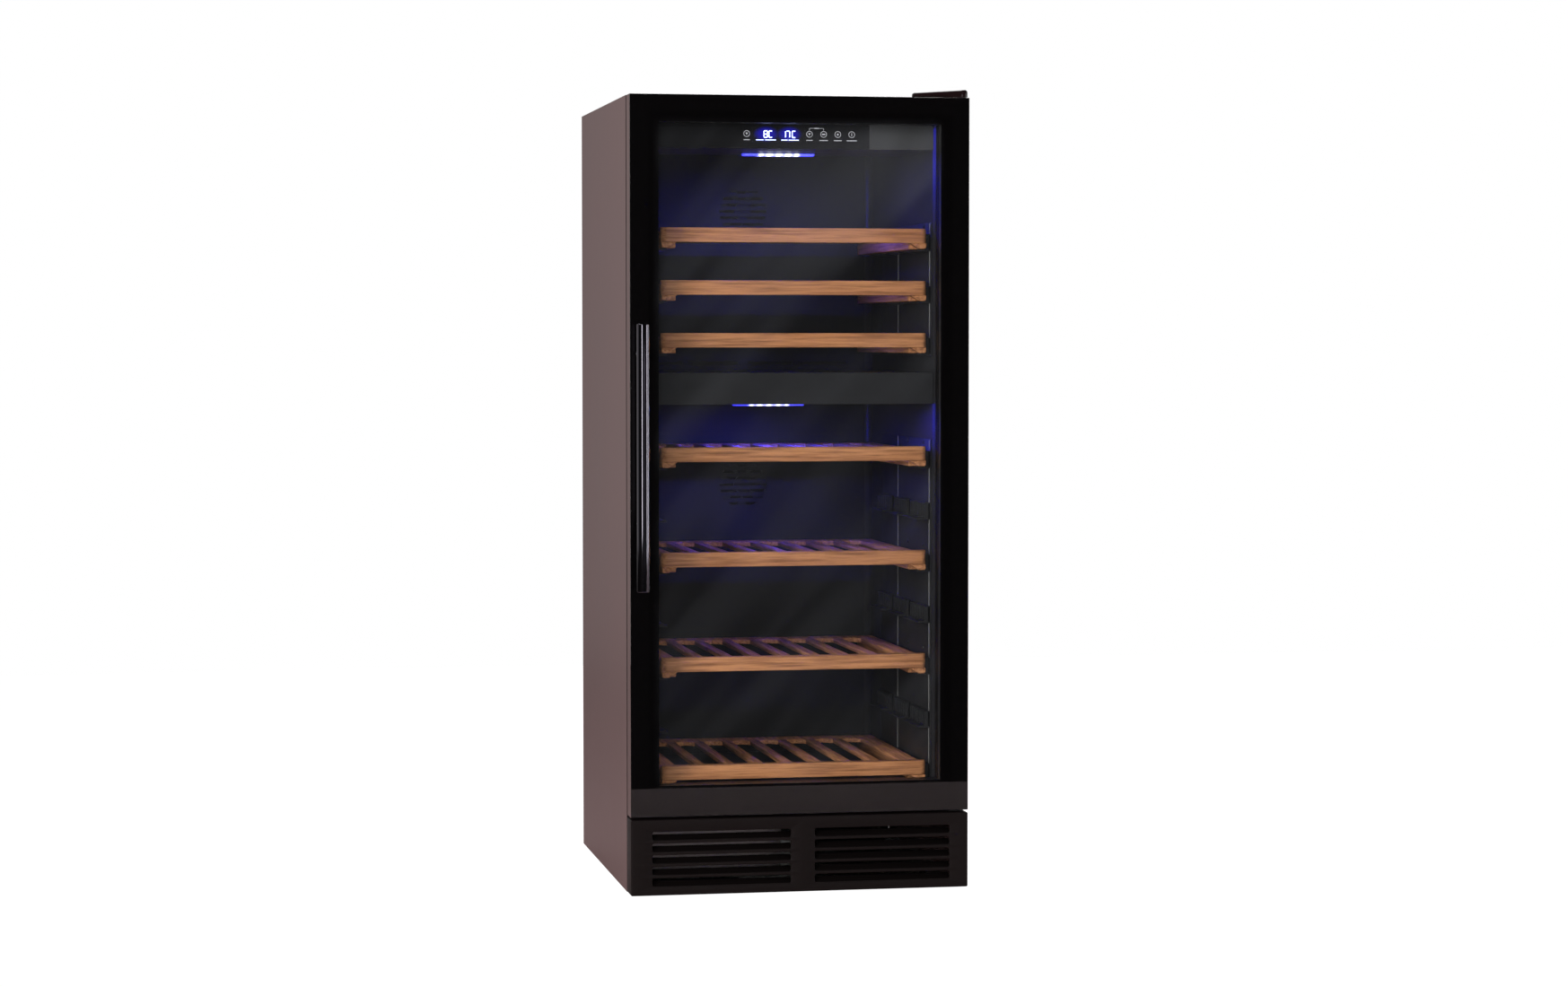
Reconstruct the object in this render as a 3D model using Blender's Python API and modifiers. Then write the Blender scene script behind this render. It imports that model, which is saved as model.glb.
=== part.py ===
"""Tall built-in wine cooler with two temperature zones, a glass door and seven beech shelves.

Metres, +Z up. The front faces -Y. The origin is the centre of the floor area under the whole object.
Every object in the "wine_cooler" collection is one separate piece. The door hangs from an empty on its
hinge line, each shelf from an empty at its front edge, and each fan turns about its own origin.
"""
import math

import bmesh
import bpy
from mathutils import Matrix, Vector

# ---- driving dimensions -------------------------------------------------------------------------
WIDTH = 0.595              # standard width of a built-in housing unit
CABINET_TOP = 1.3837
CABINET_BACK = 0.3495
DOOR_FRONT = -0.2935
DOOR_DEPTH = 0.042
SEAL_GAP = 0.008           # from the door's back to the cabinet's front, filled by the gasket
PLINTH_BOTTOM = 0.006
PLINTH_TOP = 0.137
DOOR_BOTTOM = 0.1415
DOOR_TOP = 1.3827
SHEET = 0.0012             # painted steel sheet
GAP = 0.0003               # kept between pieces that touch

CAVITY_HALF = 0.2475
CAVITY_FLOOR = 0.181
CAVITY_CEILING = 1.341
CAVITY_BACK = 0.3115
LINER = 0.0015
BASE_TOP = 0.146           # underside of the insulated box
DIVIDER_BOTTOM = 0.851
DIVIDER_TOP = 0.906
COVER_FRONT = 0.2915       # front of the two rear air covers
COVER = 0.0025

WINDOW_HALF = 0.2478
WINDOW_BOTTOM = 0.1955
WINDOW_TOP = 1.336
GLASS = 0.004
PANE_SPACE = 0.016
PANE_EDGE = 0.010          # how far the inner pane reaches behind the frame

HINGE_X = 0.2795
HINGE_Y = -0.2735
HINGE_PIN = 0.004
HINGE_PIN_DEPTH = 0.012

HANDLE_X = -0.2815
HANDLE_Y = -0.3385
HANDLE_RADIUS = 0.011
HANDLE_BOTTOM = 0.5336
HANDLE_TOP = 0.990
POST_RADIUS = 0.006
POST_HEIGHTS = {"lower": 0.588, "upper": 0.940}

SHELF_HALF = 0.235
SHELF_FRONT = -0.2365
SHELF_BACK = 0.2265
RAIL_DEPTH = 0.020
RAIL_HEIGHT = 0.025
RUNNER_WIDTH = 0.028
RUNNER_INSET = 0.0006      # the runner stands this far inside the deck's edges
RUNNER_DROP = 0.035        # underside of the side runners below the rail's top
DECK_DROP = 0.006          # top of the slats below the rail's top
DECK = 0.008
SLAT_PITCH = 0.0525
SLAT = 0.017
SLOTS = 8
FRONT_BOARD = 0.022        # cross board behind the front rail
REAR_BOARD = 0.062
PITCH = 0.0912             # height from one shelf place to the next
LOW_PITCH = 0.0943         # the two lowest places stand a little further apart
UPPER_FIRST = 1.1574
LOWER_FIRST = 0.7764

UPPER_PLACES = [UPPER_FIRST - i * PITCH for i in range(3)]
LOWER_PLACES = [LOWER_FIRST - i * PITCH for i in range(5)]
LOWER_PLACES += [LOWER_PLACES[-1] - (i + 1) * LOW_PITCH for i in range(2)]
SHELF_TOPS = UPPER_PLACES + LOWER_PLACES[::2]

HALF = WIDTH / 2
INNER_HALF = HALF - SHEET - GAP
DOOR_BACK = DOOR_FRONT + DOOR_DEPTH
CABINET_FRONT = DOOR_BACK + SEAL_GAP
PAN_BOTTOM = PLINTH_BOTTOM + 0.006
PAN_TOP = PAN_BOTTOM + 0.0015
FOOT_PLACES = {
    "front_left": (-0.24, -0.19),
    "front_right": (0.24, -0.19),
    "rear_left": (-0.24, 0.30),
    "rear_right": (0.24, 0.30),
}
FAN_RADIUS = 0.045
FAN_Y = 0.302
UPPER_FAN_Z = 1.205
LOWER_FAN_Z = 0.690
CONDENSER_FAN = (-0.1425, -0.140, 0.0765)
CONDENSER_FAN_RADIUS = 0.050

BOX_HALF = 0.246           # the box under the ceiling that holds the controls
BOX_BOTTOM = 1.296
LAMP_HALF = 0.065
LAMP_WIDTH = 0.020
UPPER_LAMP_Y = -0.0735
LOWER_LAMP_Y = 0.0265
# x, y, width, depth and height of the parts that stand on the circuit board
BOARD_PARTS = ((-0.080, -0.200, 0.035, 0.030, 0.0174), (0.0, -0.205, 0.030, 0.020, 0.0094),
               (0.055, -0.200, 0.030, 0.040, 0.0214))

LOUVRE_ROWS = 5
LOUVRE_TOP = 0.116
LOUVRE_PITCH = 0.020
LOUVRE_BANKS = {"left": (-0.2605, -0.0175), "right": (0.0245, 0.2645)}

SOLE_RADIUS = 0.020        # levelling foot
FLANGE_RADIUS = 0.012
STEM_RADIUS = 0.005
STEM_TOP = 0.020

CAN_RADIUS = 0.058         # compressor
CAN_TOP = 0.130
CAN_DOME = 0.028
CAN_BOTTOM = 0.026
CAN_BOWL = 0.020

# name: colour (linear), roughness, metallic
FINISHES = {
    "taupe_steel": ((0.130, 0.100, 0.098), 0.45, 0.0),
    "galvanised_steel": ((0.45, 0.46, 0.47), 0.45, 1.0),
    "zinc_plated_steel": ((0.62, 0.61, 0.58), 0.30, 1.0),
    "black_steel": ((0.012, 0.012, 0.013), 0.45, 0.0),
    "insulation": ((0.80, 0.74, 0.52), 0.90, 0.0),
    "liner_black": ((0.020, 0.020, 0.023), 0.40, 0.0),
    "moulded_black": ((0.014, 0.012, 0.012), 0.35, 0.0),
    "gloss_black": ((0.010, 0.009, 0.010), 0.12, 0.0),
    "clear_glass": ((0.75, 0.80, 0.80), 0.03, 0.0),
    "spacer_grey": ((0.10, 0.10, 0.10), 0.40, 0.6),
    "seal_rubber": ((0.020, 0.020, 0.020), 0.75, 0.0),
    "dark_chrome": ((0.060, 0.060, 0.068), 0.18, 1.0),
    "beech": ((0.51, 0.27, 0.16), 0.50, 0.0),
    "lamp_lens": ((0.55, 0.65, 1.0), 0.30, 0.0),
    "board_green": ((0.02, 0.14, 0.06), 0.50, 0.0),
    "aluminium": ((0.70, 0.71, 0.72), 0.35, 1.0),
    "tray_grey": ((0.30, 0.30, 0.31), 0.50, 0.0),
}

pieces = None
helpers = None
materials = {}


# ---- making and placing -------------------------------------------------------------------------
def start():
    """Clears the scene and makes the two collections and the materials."""
    global pieces, helpers
    for item in list(bpy.data.objects):
        bpy.data.objects.remove(item)
    pieces = bpy.data.collections.new("wine_cooler")
    helpers = bpy.data.collections.new("cutters_and_joins")
    bpy.context.scene.collection.children.link(pieces)
    bpy.context.scene.collection.children.link(helpers)
    for name, (colour, roughness, metallic) in FINISHES.items():
        material = bpy.data.materials.new(name)
        material.use_nodes = True
        shader = material.node_tree.nodes["Principled BSDF"]
        shader.inputs["Base Color"].default_value = (*colour, 1.0)
        shader.inputs["Roughness"].default_value = roughness
        shader.inputs["Metallic"].default_value = metallic
        materials[name] = material


def add(name, mesh, finish, place=(0.0, 0.0, 0.0)):
    """A piece from a mesh. With no finish it is a helper: a cutter, or a shape to be joined on."""
    item = bpy.data.objects.new(name, mesh)
    item.location = place
    if finish:
        pieces.objects.link(item)
        if not mesh.materials:
            mesh.materials.append(materials[finish])
    else:
        helpers.objects.link(item)
        item.hide_render = True
        item.display_type = "WIRE"
    return item


def mesh_from(bm, name):
    mesh = bpy.data.meshes.new(name)
    bm.to_mesh(mesh)
    bm.free()
    return mesh


def add_cube(bm, low, high):
    """One box between two corners, into an open bmesh."""
    low = Vector(low)
    high = Vector(high)
    matrix = Matrix.Translation((low + high) / 2) @ Matrix.Diagonal((*(high - low), 1.0))
    return bmesh.ops.create_cube(bm, size=1.0, matrix=matrix)["verts"]


def block(name, finish, low, high):
    """A box between two corners, with its origin at its middle."""
    centre = (Vector(low) + Vector(high)) / 2
    bm = bmesh.new()
    add_cube(bm, Vector(low) - centre, Vector(high) - centre)
    return add(name, mesh_from(bm, name), finish, centre)


def blocks(name, corners):
    """Several boxes in one helper, each given by its two corners."""
    bm = bmesh.new()
    for low, high in corners:
        add_cube(bm, low, high)
    return add(name, mesh_from(bm, name), None)


def shell(name, finish, low, high, open_side, wall, outward=True):
    """A box of sheet with one side left open. open_side is a unit vector."""
    centre = (Vector(low) + Vector(high)) / 2
    bm = bmesh.new()
    add_cube(bm, Vector(low) - centre, Vector(high) - centre)
    bm.normal_update()
    lid = [face for face in bm.faces if face.normal.dot(Vector(open_side)) > 0.9]
    bmesh.ops.delete(bm, geom=lid, context="FACES")
    item = add(name, mesh_from(bm, name), finish, centre)
    thicken(item, wall, outward)
    return item


def thicken(item, wall, outward):
    solidify = item.modifiers.new("wall", "SOLIDIFY")
    solidify.thickness = wall
    solidify.offset = 1.0 if outward else -1.0
    solidify.use_even_offset = True


def rod(name, finish, radius, start_point, end_point, sides=24):
    """A cylinder between two points, with its origin at its middle."""
    start_point = Vector(start_point)
    end_point = Vector(end_point)
    along = end_point - start_point
    turn = along.to_track_quat("Z", "Y").to_matrix().to_4x4()
    bm = bmesh.new()
    bmesh.ops.create_cone(bm, cap_ends=True, segments=sides, radius1=radius, radius2=radius,
                          depth=along.length, matrix=turn)
    mesh = mesh_from(bm, name)
    shade_round(mesh)
    return add(name, mesh, finish, (start_point + end_point) / 2)


def shade_round(mesh, angle=40.0):
    mesh.shade_smooth()
    mesh.set_sharp_from_angle(angle=math.radians(angle))


def flat_mesh(name, outlines, thickness):
    """A flat outline with its holes in the XY plane, as a welded closed mesh of that thickness."""
    curve = bpy.data.curves.new(name, "CURVE")
    curve.dimensions = "2D"
    curve.fill_mode = "BOTH"
    curve.extrude = thickness / 2
    for outline in outlines:
        spline = curve.splines.new("POLY")
        spline.points.add(len(outline) - 1)
        for point, (x, y) in zip(spline.points, outline):
            point.co = (x, y, 0.0, 1.0)
        spline.use_cyclic_u = True
    drawn = bpy.data.objects.new(name, curve)
    pieces.objects.link(drawn)
    mesh = evaluated_mesh(drawn, name)
    bpy.data.objects.remove(drawn)
    bpy.data.curves.remove(curve)
    return mesh


def evaluated_mesh(item, name):
    """The mesh of an object with its modifiers applied and its caps welded."""
    bpy.context.view_layer.update()
    graph = bpy.context.evaluated_depsgraph_get()
    mesh = bpy.data.meshes.new_from_object(item.evaluated_get(graph))
    mesh.name = name
    bm = bmesh.new()
    bm.from_mesh(mesh)
    bmesh.ops.remove_doubles(bm, verts=bm.verts, dist=0.00001)
    bmesh.ops.recalc_face_normals(bm, faces=bm.faces)
    bm.to_mesh(mesh)
    bm.free()
    return mesh


def upright_plate(name, finish, outlines, front, back):
    """A flat outline given in X and Z, standing between two Y values."""
    item = add(name, flat_mesh(name, outlines, back - front), finish, (0.0, (front + back) / 2, 0.0))
    item.rotation_euler = (math.radians(90.0), 0.0, 0.0)
    return item


def level_plate(name, finish, outlines, bottom, top):
    """A flat outline given in X and Y, lying between two heights."""
    return add(name, flat_mesh(name, outlines, top - bottom), finish, (0.0, 0.0, (bottom + top) / 2))


def cross_plate(name, finish, outlines, left, right):
    """A flat outline given in Y and Z, standing between two X values."""
    item = add(name, flat_mesh(name, outlines, right - left), finish, ((left + right) / 2, 0.0, 0.0))
    item.rotation_euler = (math.radians(90.0), 0.0, math.radians(90.0))
    return item


def turned(name, finish, profile, steps, place):
    """A round solid: a profile of (radius, height), top to bottom, turned about Z."""
    mesh = bpy.data.meshes.new(name)
    points = [(radius, 0.0, height) for radius, height in profile]
    mesh.from_pydata(points, [(i, i + 1) for i in range(len(points) - 1)], [])
    item = add(name, mesh, finish, place)
    screw = item.modifiers.new("turn", "SCREW")
    screw.steps = steps
    screw.render_steps = steps
    screw.use_merge_vertices = True
    screw.merge_threshold = 0.0001
    screw.use_smooth_shade = True
    return item


def boolean(item, helper, operation):
    modifier = item.modifiers.new(helper.name, "BOOLEAN")
    modifier.operation = operation
    modifier.object = helper
    modifier.solver = "EXACT"


def cut(item, cutter):
    boolean(item, cutter, "DIFFERENCE")


def join(item, addition):
    boolean(item, addition, "UNION")


def round_edges(item, width, segments=2):
    bevel = item.modifiers.new("round", "BEVEL")
    bevel.width = width
    bevel.segments = segments
    bevel.limit_method = "ANGLE"
    bevel.angle_limit = math.radians(40.0)


def axis_empty(name, place):
    """An empty that carries a moving group, on its joint."""
    empty = bpy.data.objects.new(name, None)
    empty.location = place
    pieces.objects.link(empty)
    return empty


def carry(items, empty):
    """Hangs pieces from an empty without moving them."""
    for item in items:
        item.parent = empty
        item.location = item.location - empty.location


def rectangle(x0, y0, x1, y1):
    return [(x0, y0), (x1, y0), (x1, y1), (x0, y1)]


def circle(x, y, radius, sides):
    step = 2 * math.pi / sides
    return [(x + radius * math.cos(i * step), y + radius * math.sin(i * step)) for i in range(sides)]


def arc(x, y, radius, first, last, steps):
    """Points on an arc about (x, y), from one angle to another in degrees."""
    angles = [math.radians(first + (last - first) * i / steps) for i in range(steps + 1)]
    return [(x + radius * math.cos(a), y + radius * math.sin(a)) for a in angles]


# ---- cabinet ------------------------------------------------------------------------------------
def make_casing():
    """The painted side and top sheets and the rear sheet with its air slots."""
    for name, side in (("side_panel_left", -1), ("side_panel_right", 1)):
        inner, outer = sorted((side * HALF, side * (HALF - SHEET)))
        block(name, "taupe_steel", (inner, CABINET_FRONT, PLINTH_BOTTOM), (outer, CABINET_BACK, CABINET_TOP))
    block("top_panel", "taupe_steel", (-INNER_HALF, CABINET_FRONT, CABINET_TOP - SHEET),
          (INNER_HALF, CABINET_BACK - SHEET - GAP, CABINET_TOP))
    rear = block("rear_panel", "galvanised_steel", (-INNER_HALF, CABINET_BACK - SHEET, PAN_BOTTOM),
                 (INNER_HALF, CABINET_BACK, CABINET_TOP))
    slots = []
    for column in range(3):
        for row in range(5):
            x = -0.10 + column * 0.11
            z = 0.040 + row * 0.018
            slots.append(((x, CABINET_BACK - 0.01, z), (x + 0.085, CABINET_BACK + 0.01, z + 0.006)))
    cut(rear, blocks("rear_air_slots", slots))
    low, high = inlet_corners(GAP)
    cut(rear, blocks("rear_inlet_hole", [(low, (high[0], CABINET_BACK + 0.01, high[2]))]))


def inlet_corners(margin):
    """The power inlet's box, grown by a margin in X and Z."""
    low = (-0.262 - margin, 0.325, 0.032 - margin)
    high = (-0.232 + margin, CABINET_BACK, 0.056 + margin)
    return low, high


def make_insulated_box():
    """The foam, the moulded liner inside it and the steel frame round its mouth."""
    room = LINER + GAP
    foam = block("insulation_foam", "insulation", (-INNER_HALF, CABINET_FRONT + 0.0035, BASE_TOP),
                 (INNER_HALF, CABINET_BACK - SHEET - GAP, CABINET_TOP - SHEET - GAP))
    cavity = blocks("cavity_cutter", [((-CAVITY_HALF - room, CABINET_FRONT - 0.05, CAVITY_FLOOR - room),
                                       (CAVITY_HALF + room, CAVITY_BACK + room, CAVITY_CEILING + room))])
    cut(foam, cavity)
    shell("inner_liner", "liner_black", (-CAVITY_HALF, CABINET_FRONT, CAVITY_FLOOR),
          (CAVITY_HALF, CAVITY_BACK, CAVITY_CEILING), (0, -1, 0), LINER)
    mouth = rectangle(-CAVITY_HALF - room, CAVITY_FLOOR - room, CAVITY_HALF + room, CAVITY_CEILING + room)
    outer = rectangle(-INNER_HALF, 0.110, INNER_HALF, CABINET_TOP - SHEET - GAP)
    upright_plate("front_frame", "taupe_steel", [outer, mouth], CABINET_FRONT, CABINET_FRONT + 0.003)
    shell("zone_divider", "liner_black", (-CAVITY_HALF + GAP, SHELF_FRONT, DIVIDER_BOTTOM),
          (CAVITY_HALF - GAP, CAVITY_BACK - GAP, DIVIDER_TOP), (0, 1, 0), 0.003, outward=False)


def make_air_system(zone, bottom, top, fan_z, coil_bottom, coil_top):
    """One zone's rear cover with slots, its fan and its finned evaporator."""
    cover = block(zone + "_fan_cover", "liner_black", (-CAVITY_HALF + GAP, COVER_FRONT, bottom + GAP),
                  (CAVITY_HALF - GAP, COVER_FRONT + COVER, top - GAP))
    slots = []
    for row in range(7):
        z = fan_z + (row - 3) * 0.012
        reach = math.sqrt(max(FAN_RADIUS ** 2 - (z - fan_z) ** 2, 0.0004))
        slots.append(((-reach, COVER_FRONT - 0.01, z - 0.0025), (reach, COVER_FRONT + 0.01, z + 0.0025)))
    for column in range(4):
        x = -0.200 + column * 0.105
        slots.append(((x, COVER_FRONT - 0.01, bottom + 0.010),
                      (x + 0.085, COVER_FRONT + 0.01, bottom + 0.016)))
    cut(cover, blocks(zone + "_cover_slots", slots))
    fan = make_fan(zone + "_fan", FAN_RADIUS, 0.011)
    fan.location = (0.0, FAN_Y, fan_z)
    outline = comb(-0.20, 0.20, 0.2985, 0.0015, 0.009, 0.020, 0.0012)
    level_plate(zone + "_evaporator", "aluminium", [outline], coil_bottom, coil_top)


def comb(x0, x1, y0, root, depth, pitch, fin):
    """An outline in X and Y: a root strip with thin fins standing from it towards +Y."""
    points = [(x0, y0), (x1, y0), (x1, y0 + root)]
    count = round((x1 - x0) / pitch)
    for i in range(count - 1, 0, -1):
        x = x0 + i * pitch
        points += [(x + fin / 2, y0 + root), (x + fin / 2, y0 + depth)]
        points += [(x - fin / 2, y0 + depth), (x - fin / 2, y0 + root)]
    points.append((x0, y0 + root))
    return points


def make_fan(name, radius, depth):
    """A seven-bladed fan that turns about Y, with its origin on its shaft."""
    hub = radius * 0.36
    bm = bmesh.new()
    for i in range(7):
        blade = Matrix.Rotation(2 * math.pi * i / 7, 4, "Y") @ Matrix.Translation((0.0, 0.0, radius * 0.62))
        blade = blade @ Matrix.Rotation(math.radians(32.0), 4, "Z")
        blade = blade @ Matrix.Diagonal((radius * 0.42, depth * 0.12, radius * 0.68, 1.0))
        bmesh.ops.create_cube(bm, size=1.0, matrix=blade)
    blades = add(name + "_blades", mesh_from(bm, name + "_blades"), None)
    fan = rod(name, "moulded_black", hub, (0.0, -depth / 2, 0.0), (0.0, depth / 2, 0.0), sides=18)
    join(fan, blades)
    fan.data = evaluated_mesh(fan, name)
    fan.modifiers.clear()
    bpy.data.objects.remove(blades)
    return fan


def make_lamp(zone, middle, bottom, top):
    """A flat lens with rounded edges. middle is its Y."""
    low = (-LAMP_HALF, middle - LAMP_WIDTH / 2, bottom)
    lamp = block(zone + "_lamp", "lamp_lens", low, (LAMP_HALF, middle + LAMP_WIDTH / 2, top))
    round_edges(lamp, 0.002)


def make_controls():
    """The ceiling box with its display front, circuit board and lamp, and the lower zone's lamp."""
    ceiling = CAVITY_CEILING - 0.0005
    box_front, box_back = -0.230, 0.010
    shell("control_housing", "moulded_black", (-BOX_HALF, box_front, BOX_BOTTOM),
          (BOX_HALF, box_back, ceiling), (0, 0, 1), 0.002, outward=False)
    fascia_front, fascia_bottom = -0.2345, BOX_BOTTOM - 0.0015
    block("control_fascia", "gloss_black", (-BOX_HALF - 0.0005, fascia_front, fascia_bottom),
          (BOX_HALF + 0.0005, box_front - GAP, ceiling))
    board_half, board_front, board_depth = 0.100, -0.215, 0.080
    board_bottom = BOX_BOTTOM + 0.008
    board_top = board_bottom + 0.0016
    board = block("control_board", "board_green", (-board_half, board_front, board_bottom),
                  (board_half, board_front + board_depth, board_top))
    parts = []
    for x, y, wide, deep, tall in BOARD_PARTS:
        parts.append(((x, y, board_top - 0.0006), (x + wide, y + deep, board_top + tall)))
    join(board, blocks("board_parts", parts))
    make_lamp("upper", UPPER_LAMP_Y, BOX_BOTTOM - 0.006, BOX_BOTTOM - GAP)
    make_lamp("lower", LOWER_LAMP_Y, DIVIDER_BOTTOM - 0.0075, DIVIDER_BOTTOM - GAP)


def make_rack(name, side, places):
    """A moulded wall strip with three shelf supports at each place, all one piece."""
    wall = side * (CAVITY_HALF - GAP)
    strip = side * (CAVITY_HALF - GAP - 0.002)
    top = places[0] + 0.012
    bottom = places[-1] - RUNNER_DROP - 0.0045
    depth_runs = ((-0.2185, -0.0985), (-0.0635, 0.0385), (0.0785, 0.1785))
    left, right = sorted((wall, strip))
    rack = block(name, "liner_black", (left, depth_runs[0][0] - 0.004, bottom),
                 (right, depth_runs[2][1] + 0.004, top))
    inside = side * (CAVITY_HALF - 0.001)
    cheek = side * (SHELF_HALF + 0.0015)
    lip = side * (SHELF_HALF - 0.0125)
    corners = []
    for place in places:
        seat = place - RUNNER_DROP - 0.0005
        for front, back in depth_runs:
            left, right = sorted((inside, cheek))
            corners.append(((left, front, seat - 0.002), (right, back, place - 0.009)))
            left, right = sorted((inside, lip))
            corners.append(((left, front + 0.001, seat - 0.0035), (right, back - 0.001, seat)))
    join(rack, merged_blocks(name + "_supports", corners))


def merged_blocks(name, corners):
    """Boxes that overlap in pairs, joined pair by pair into closed solids in one helper."""
    bodies = bmesh.new()
    for low, high in corners[::2]:
        add_cube(bodies, low, high)
    first = add(name, mesh_from(bodies, name), None)
    second = blocks(name + "_lips", corners[1::2])
    join(first, second)
    return first


# ---- base ---------------------------------------------------------------------------------------
def make_base():
    """The steel base pan on its four levelling feet."""
    pan = block("base_pan", "galvanised_steel", (-INNER_HALF, CABINET_FRONT + 0.002, PAN_BOTTOM),
                (INNER_HALF, CABINET_BACK - SHEET - GAP, PAN_TOP))
    flange_top = PAN_BOTTOM - GAP
    profile = [(0.0, STEM_TOP), (STEM_RADIUS, STEM_TOP), (STEM_RADIUS, flange_top),
               (FLANGE_RADIUS, flange_top), (FLANGE_RADIUS, 0.008), (SOLE_RADIUS, 0.006),
               (SOLE_RADIUS, 0.0), (0.0, 0.0)]
    hole = STEM_RADIUS + 0.0005
    bm = bmesh.new()
    for x, y in FOOT_PLACES.values():
        bmesh.ops.create_cone(bm, cap_ends=True, segments=16, radius1=hole, radius2=hole, depth=0.02,
                              matrix=Matrix.Translation((x, y, PAN_TOP)))
    cut(pan, add("stem_holes", mesh_from(bm, "stem_holes"), None))
    for place, (x, y) in FOOT_PLACES.items():
        turned("foot_" + place, "moulded_black", profile, 16, (x, y, 0.0))


def louvre_outlines(front, back):
    """Five slots in Y and Z, one below the other. Each one's floor slopes down towards the front."""
    slots = []
    for row in range(LOUVRE_ROWS):
        top = LOUVRE_TOP - row * LOUVRE_PITCH
        slots.append([(front, top), (back, top), (back, top - 0.0085), (front, top - 0.0145)])
    return slots


def make_plinth():
    """The moulded grille below the door: a front with two banks of sloped louvres and four returns."""
    wall = 0.003
    plinth = shell("plinth_grille", "moulded_black", (-HALF, DOOR_FRONT, PLINTH_BOTTOM),
                   (HALF, CABINET_FRONT - 0.004, PLINTH_TOP), (0, 1, 0), wall, outward=False)
    slots = louvre_outlines(DOOR_FRONT - 0.001, DOOR_FRONT + wall + 0.002)
    for side, (left, right) in LOUVRE_BANKS.items():
        cut(plinth, cross_plate(side + "_louvres", None, slots, left, right))


def make_compressor(x, y):
    """A welded can with a domed top and bottom, on a plate that stands on four grommets."""
    turn = [math.radians(18 * step) for step in range(6)]
    dome = [(CAN_RADIUS * math.sin(a), CAN_TOP - CAN_DOME * (1 - math.cos(a))) for a in turn]
    bowl = [(CAN_RADIUS * math.cos(a), CAN_BOTTOM + CAN_BOWL * (1 - math.sin(a))) for a in turn]
    bowl[-1] = (0.0, CAN_BOTTOM)
    compressor = turned("compressor", "black_steel", dome + bowl, 24, (x, y, 0.0))
    half_wide, half_deep = 0.075, 0.055
    plate_bottom = CAN_BOTTOM + 0.0005
    plate = blocks("compressor_plate", [((x - half_wide, y - half_deep, plate_bottom),
                                         (x + half_wide, y + half_deep, plate_bottom + 0.003))])
    join(compressor, plate)
    stand = PAN_TOP + GAP
    tall = 0.0135
    grommets = bmesh.new()
    for side in (-1, 1):
        for end in (-1, 1):
            place = (x + side * (half_wide - 0.010), y + end * (half_deep - 0.010), stand + tall / 2)
            bmesh.ops.create_cone(grommets, cap_ends=True, segments=12, radius1=0.007, radius2=0.007,
                                  depth=tall, matrix=Matrix.Translation(place))
    join(compressor, add("compressor_grommets", mesh_from(grommets, "compressor_grommets"), None))


def make_condenser():
    """A finned condenser behind the plinth, with its fan in a shroud."""
    fins = comb(-0.265, -0.020, -0.210, 0.004, 0.038, 0.0102, 0.0012)
    level_plate("condenser", "black_steel", [fins], 0.0215, 0.128)
    x, y, z = CONDENSER_FAN
    half, depth = 0.058, 0.013
    frame = rectangle(x - half, PAN_TOP + GAP, x + half, z + half)
    opening = circle(x, z, CONDENSER_FAN_RADIUS + 0.003, 32)
    upright_plate("fan_shroud", "moulded_black", [frame, opening], y - depth, y + depth)
    fan = make_fan("condenser_fan", CONDENSER_FAN_RADIUS, 0.016)
    fan.location = CONDENSER_FAN


def make_machine():
    """Compressor, condenser, drip tray and power inlet, on the base pan."""
    make_compressor(0.17, 0.20)
    make_condenser()
    shell("drip_tray", "tray_grey", (-0.20, 0.10, 0.018), (-0.02, 0.28, 0.045), (0, 0, 1), 0.002,
          outward=False)
    low, high = inlet_corners(0.0)
    inlet = block("power_inlet", "moulded_black", low, high)
    depth, side_wall, end_wall = 0.017, 0.003, 0.004
    socket = ((low[0] + side_wall, high[1] - depth, low[2] + end_wall),
              (high[0] - side_wall, high[1] + 0.01, high[2] - end_wall))
    cut(inlet, blocks("inlet_socket", [socket]))


# ---- hinges -------------------------------------------------------------------------------------
def hinge_outline(inset):
    """The top hinge's plan: square at the right and back, cut diagonally at the front left."""
    right = HALF - 0.002 - inset
    front = DOOR_FRONT + 0.001 + inset
    back = -0.1985 - inset
    left = 0.2150 + inset
    nose = 0.2845 + inset * 0.46
    shoulder = -0.2125 + inset * 0.37
    return [(right, front), (right, back), (left, back), (left, shoulder), (nose, front)]


def make_hinges():
    """The steel brackets whose pins carry the door, and the moulded cover of the upper one."""
    plate_bottom = CABINET_TOP + GAP
    bracket = level_plate("top_hinge_bracket", "zinc_plated_steel", [hinge_outline(0.0035)],
                          plate_bottom, plate_bottom + 0.003)
    join(bracket, rod("top_hinge_pin", None, HINGE_PIN, (HINGE_X, HINGE_Y, DOOR_TOP - HINGE_PIN_DEPTH),
                      (HINGE_X, HINGE_Y, plate_bottom + 0.005)))
    cover = level_plate("hinge_cover", "gloss_black", [hinge_outline(0.0)], plate_bottom,
                        plate_bottom + 0.013)
    open_below(cover.data)
    round_edges(cover, 0.0035)
    thicken(cover, 0.002, False)
    make_lower_bracket()


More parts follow.
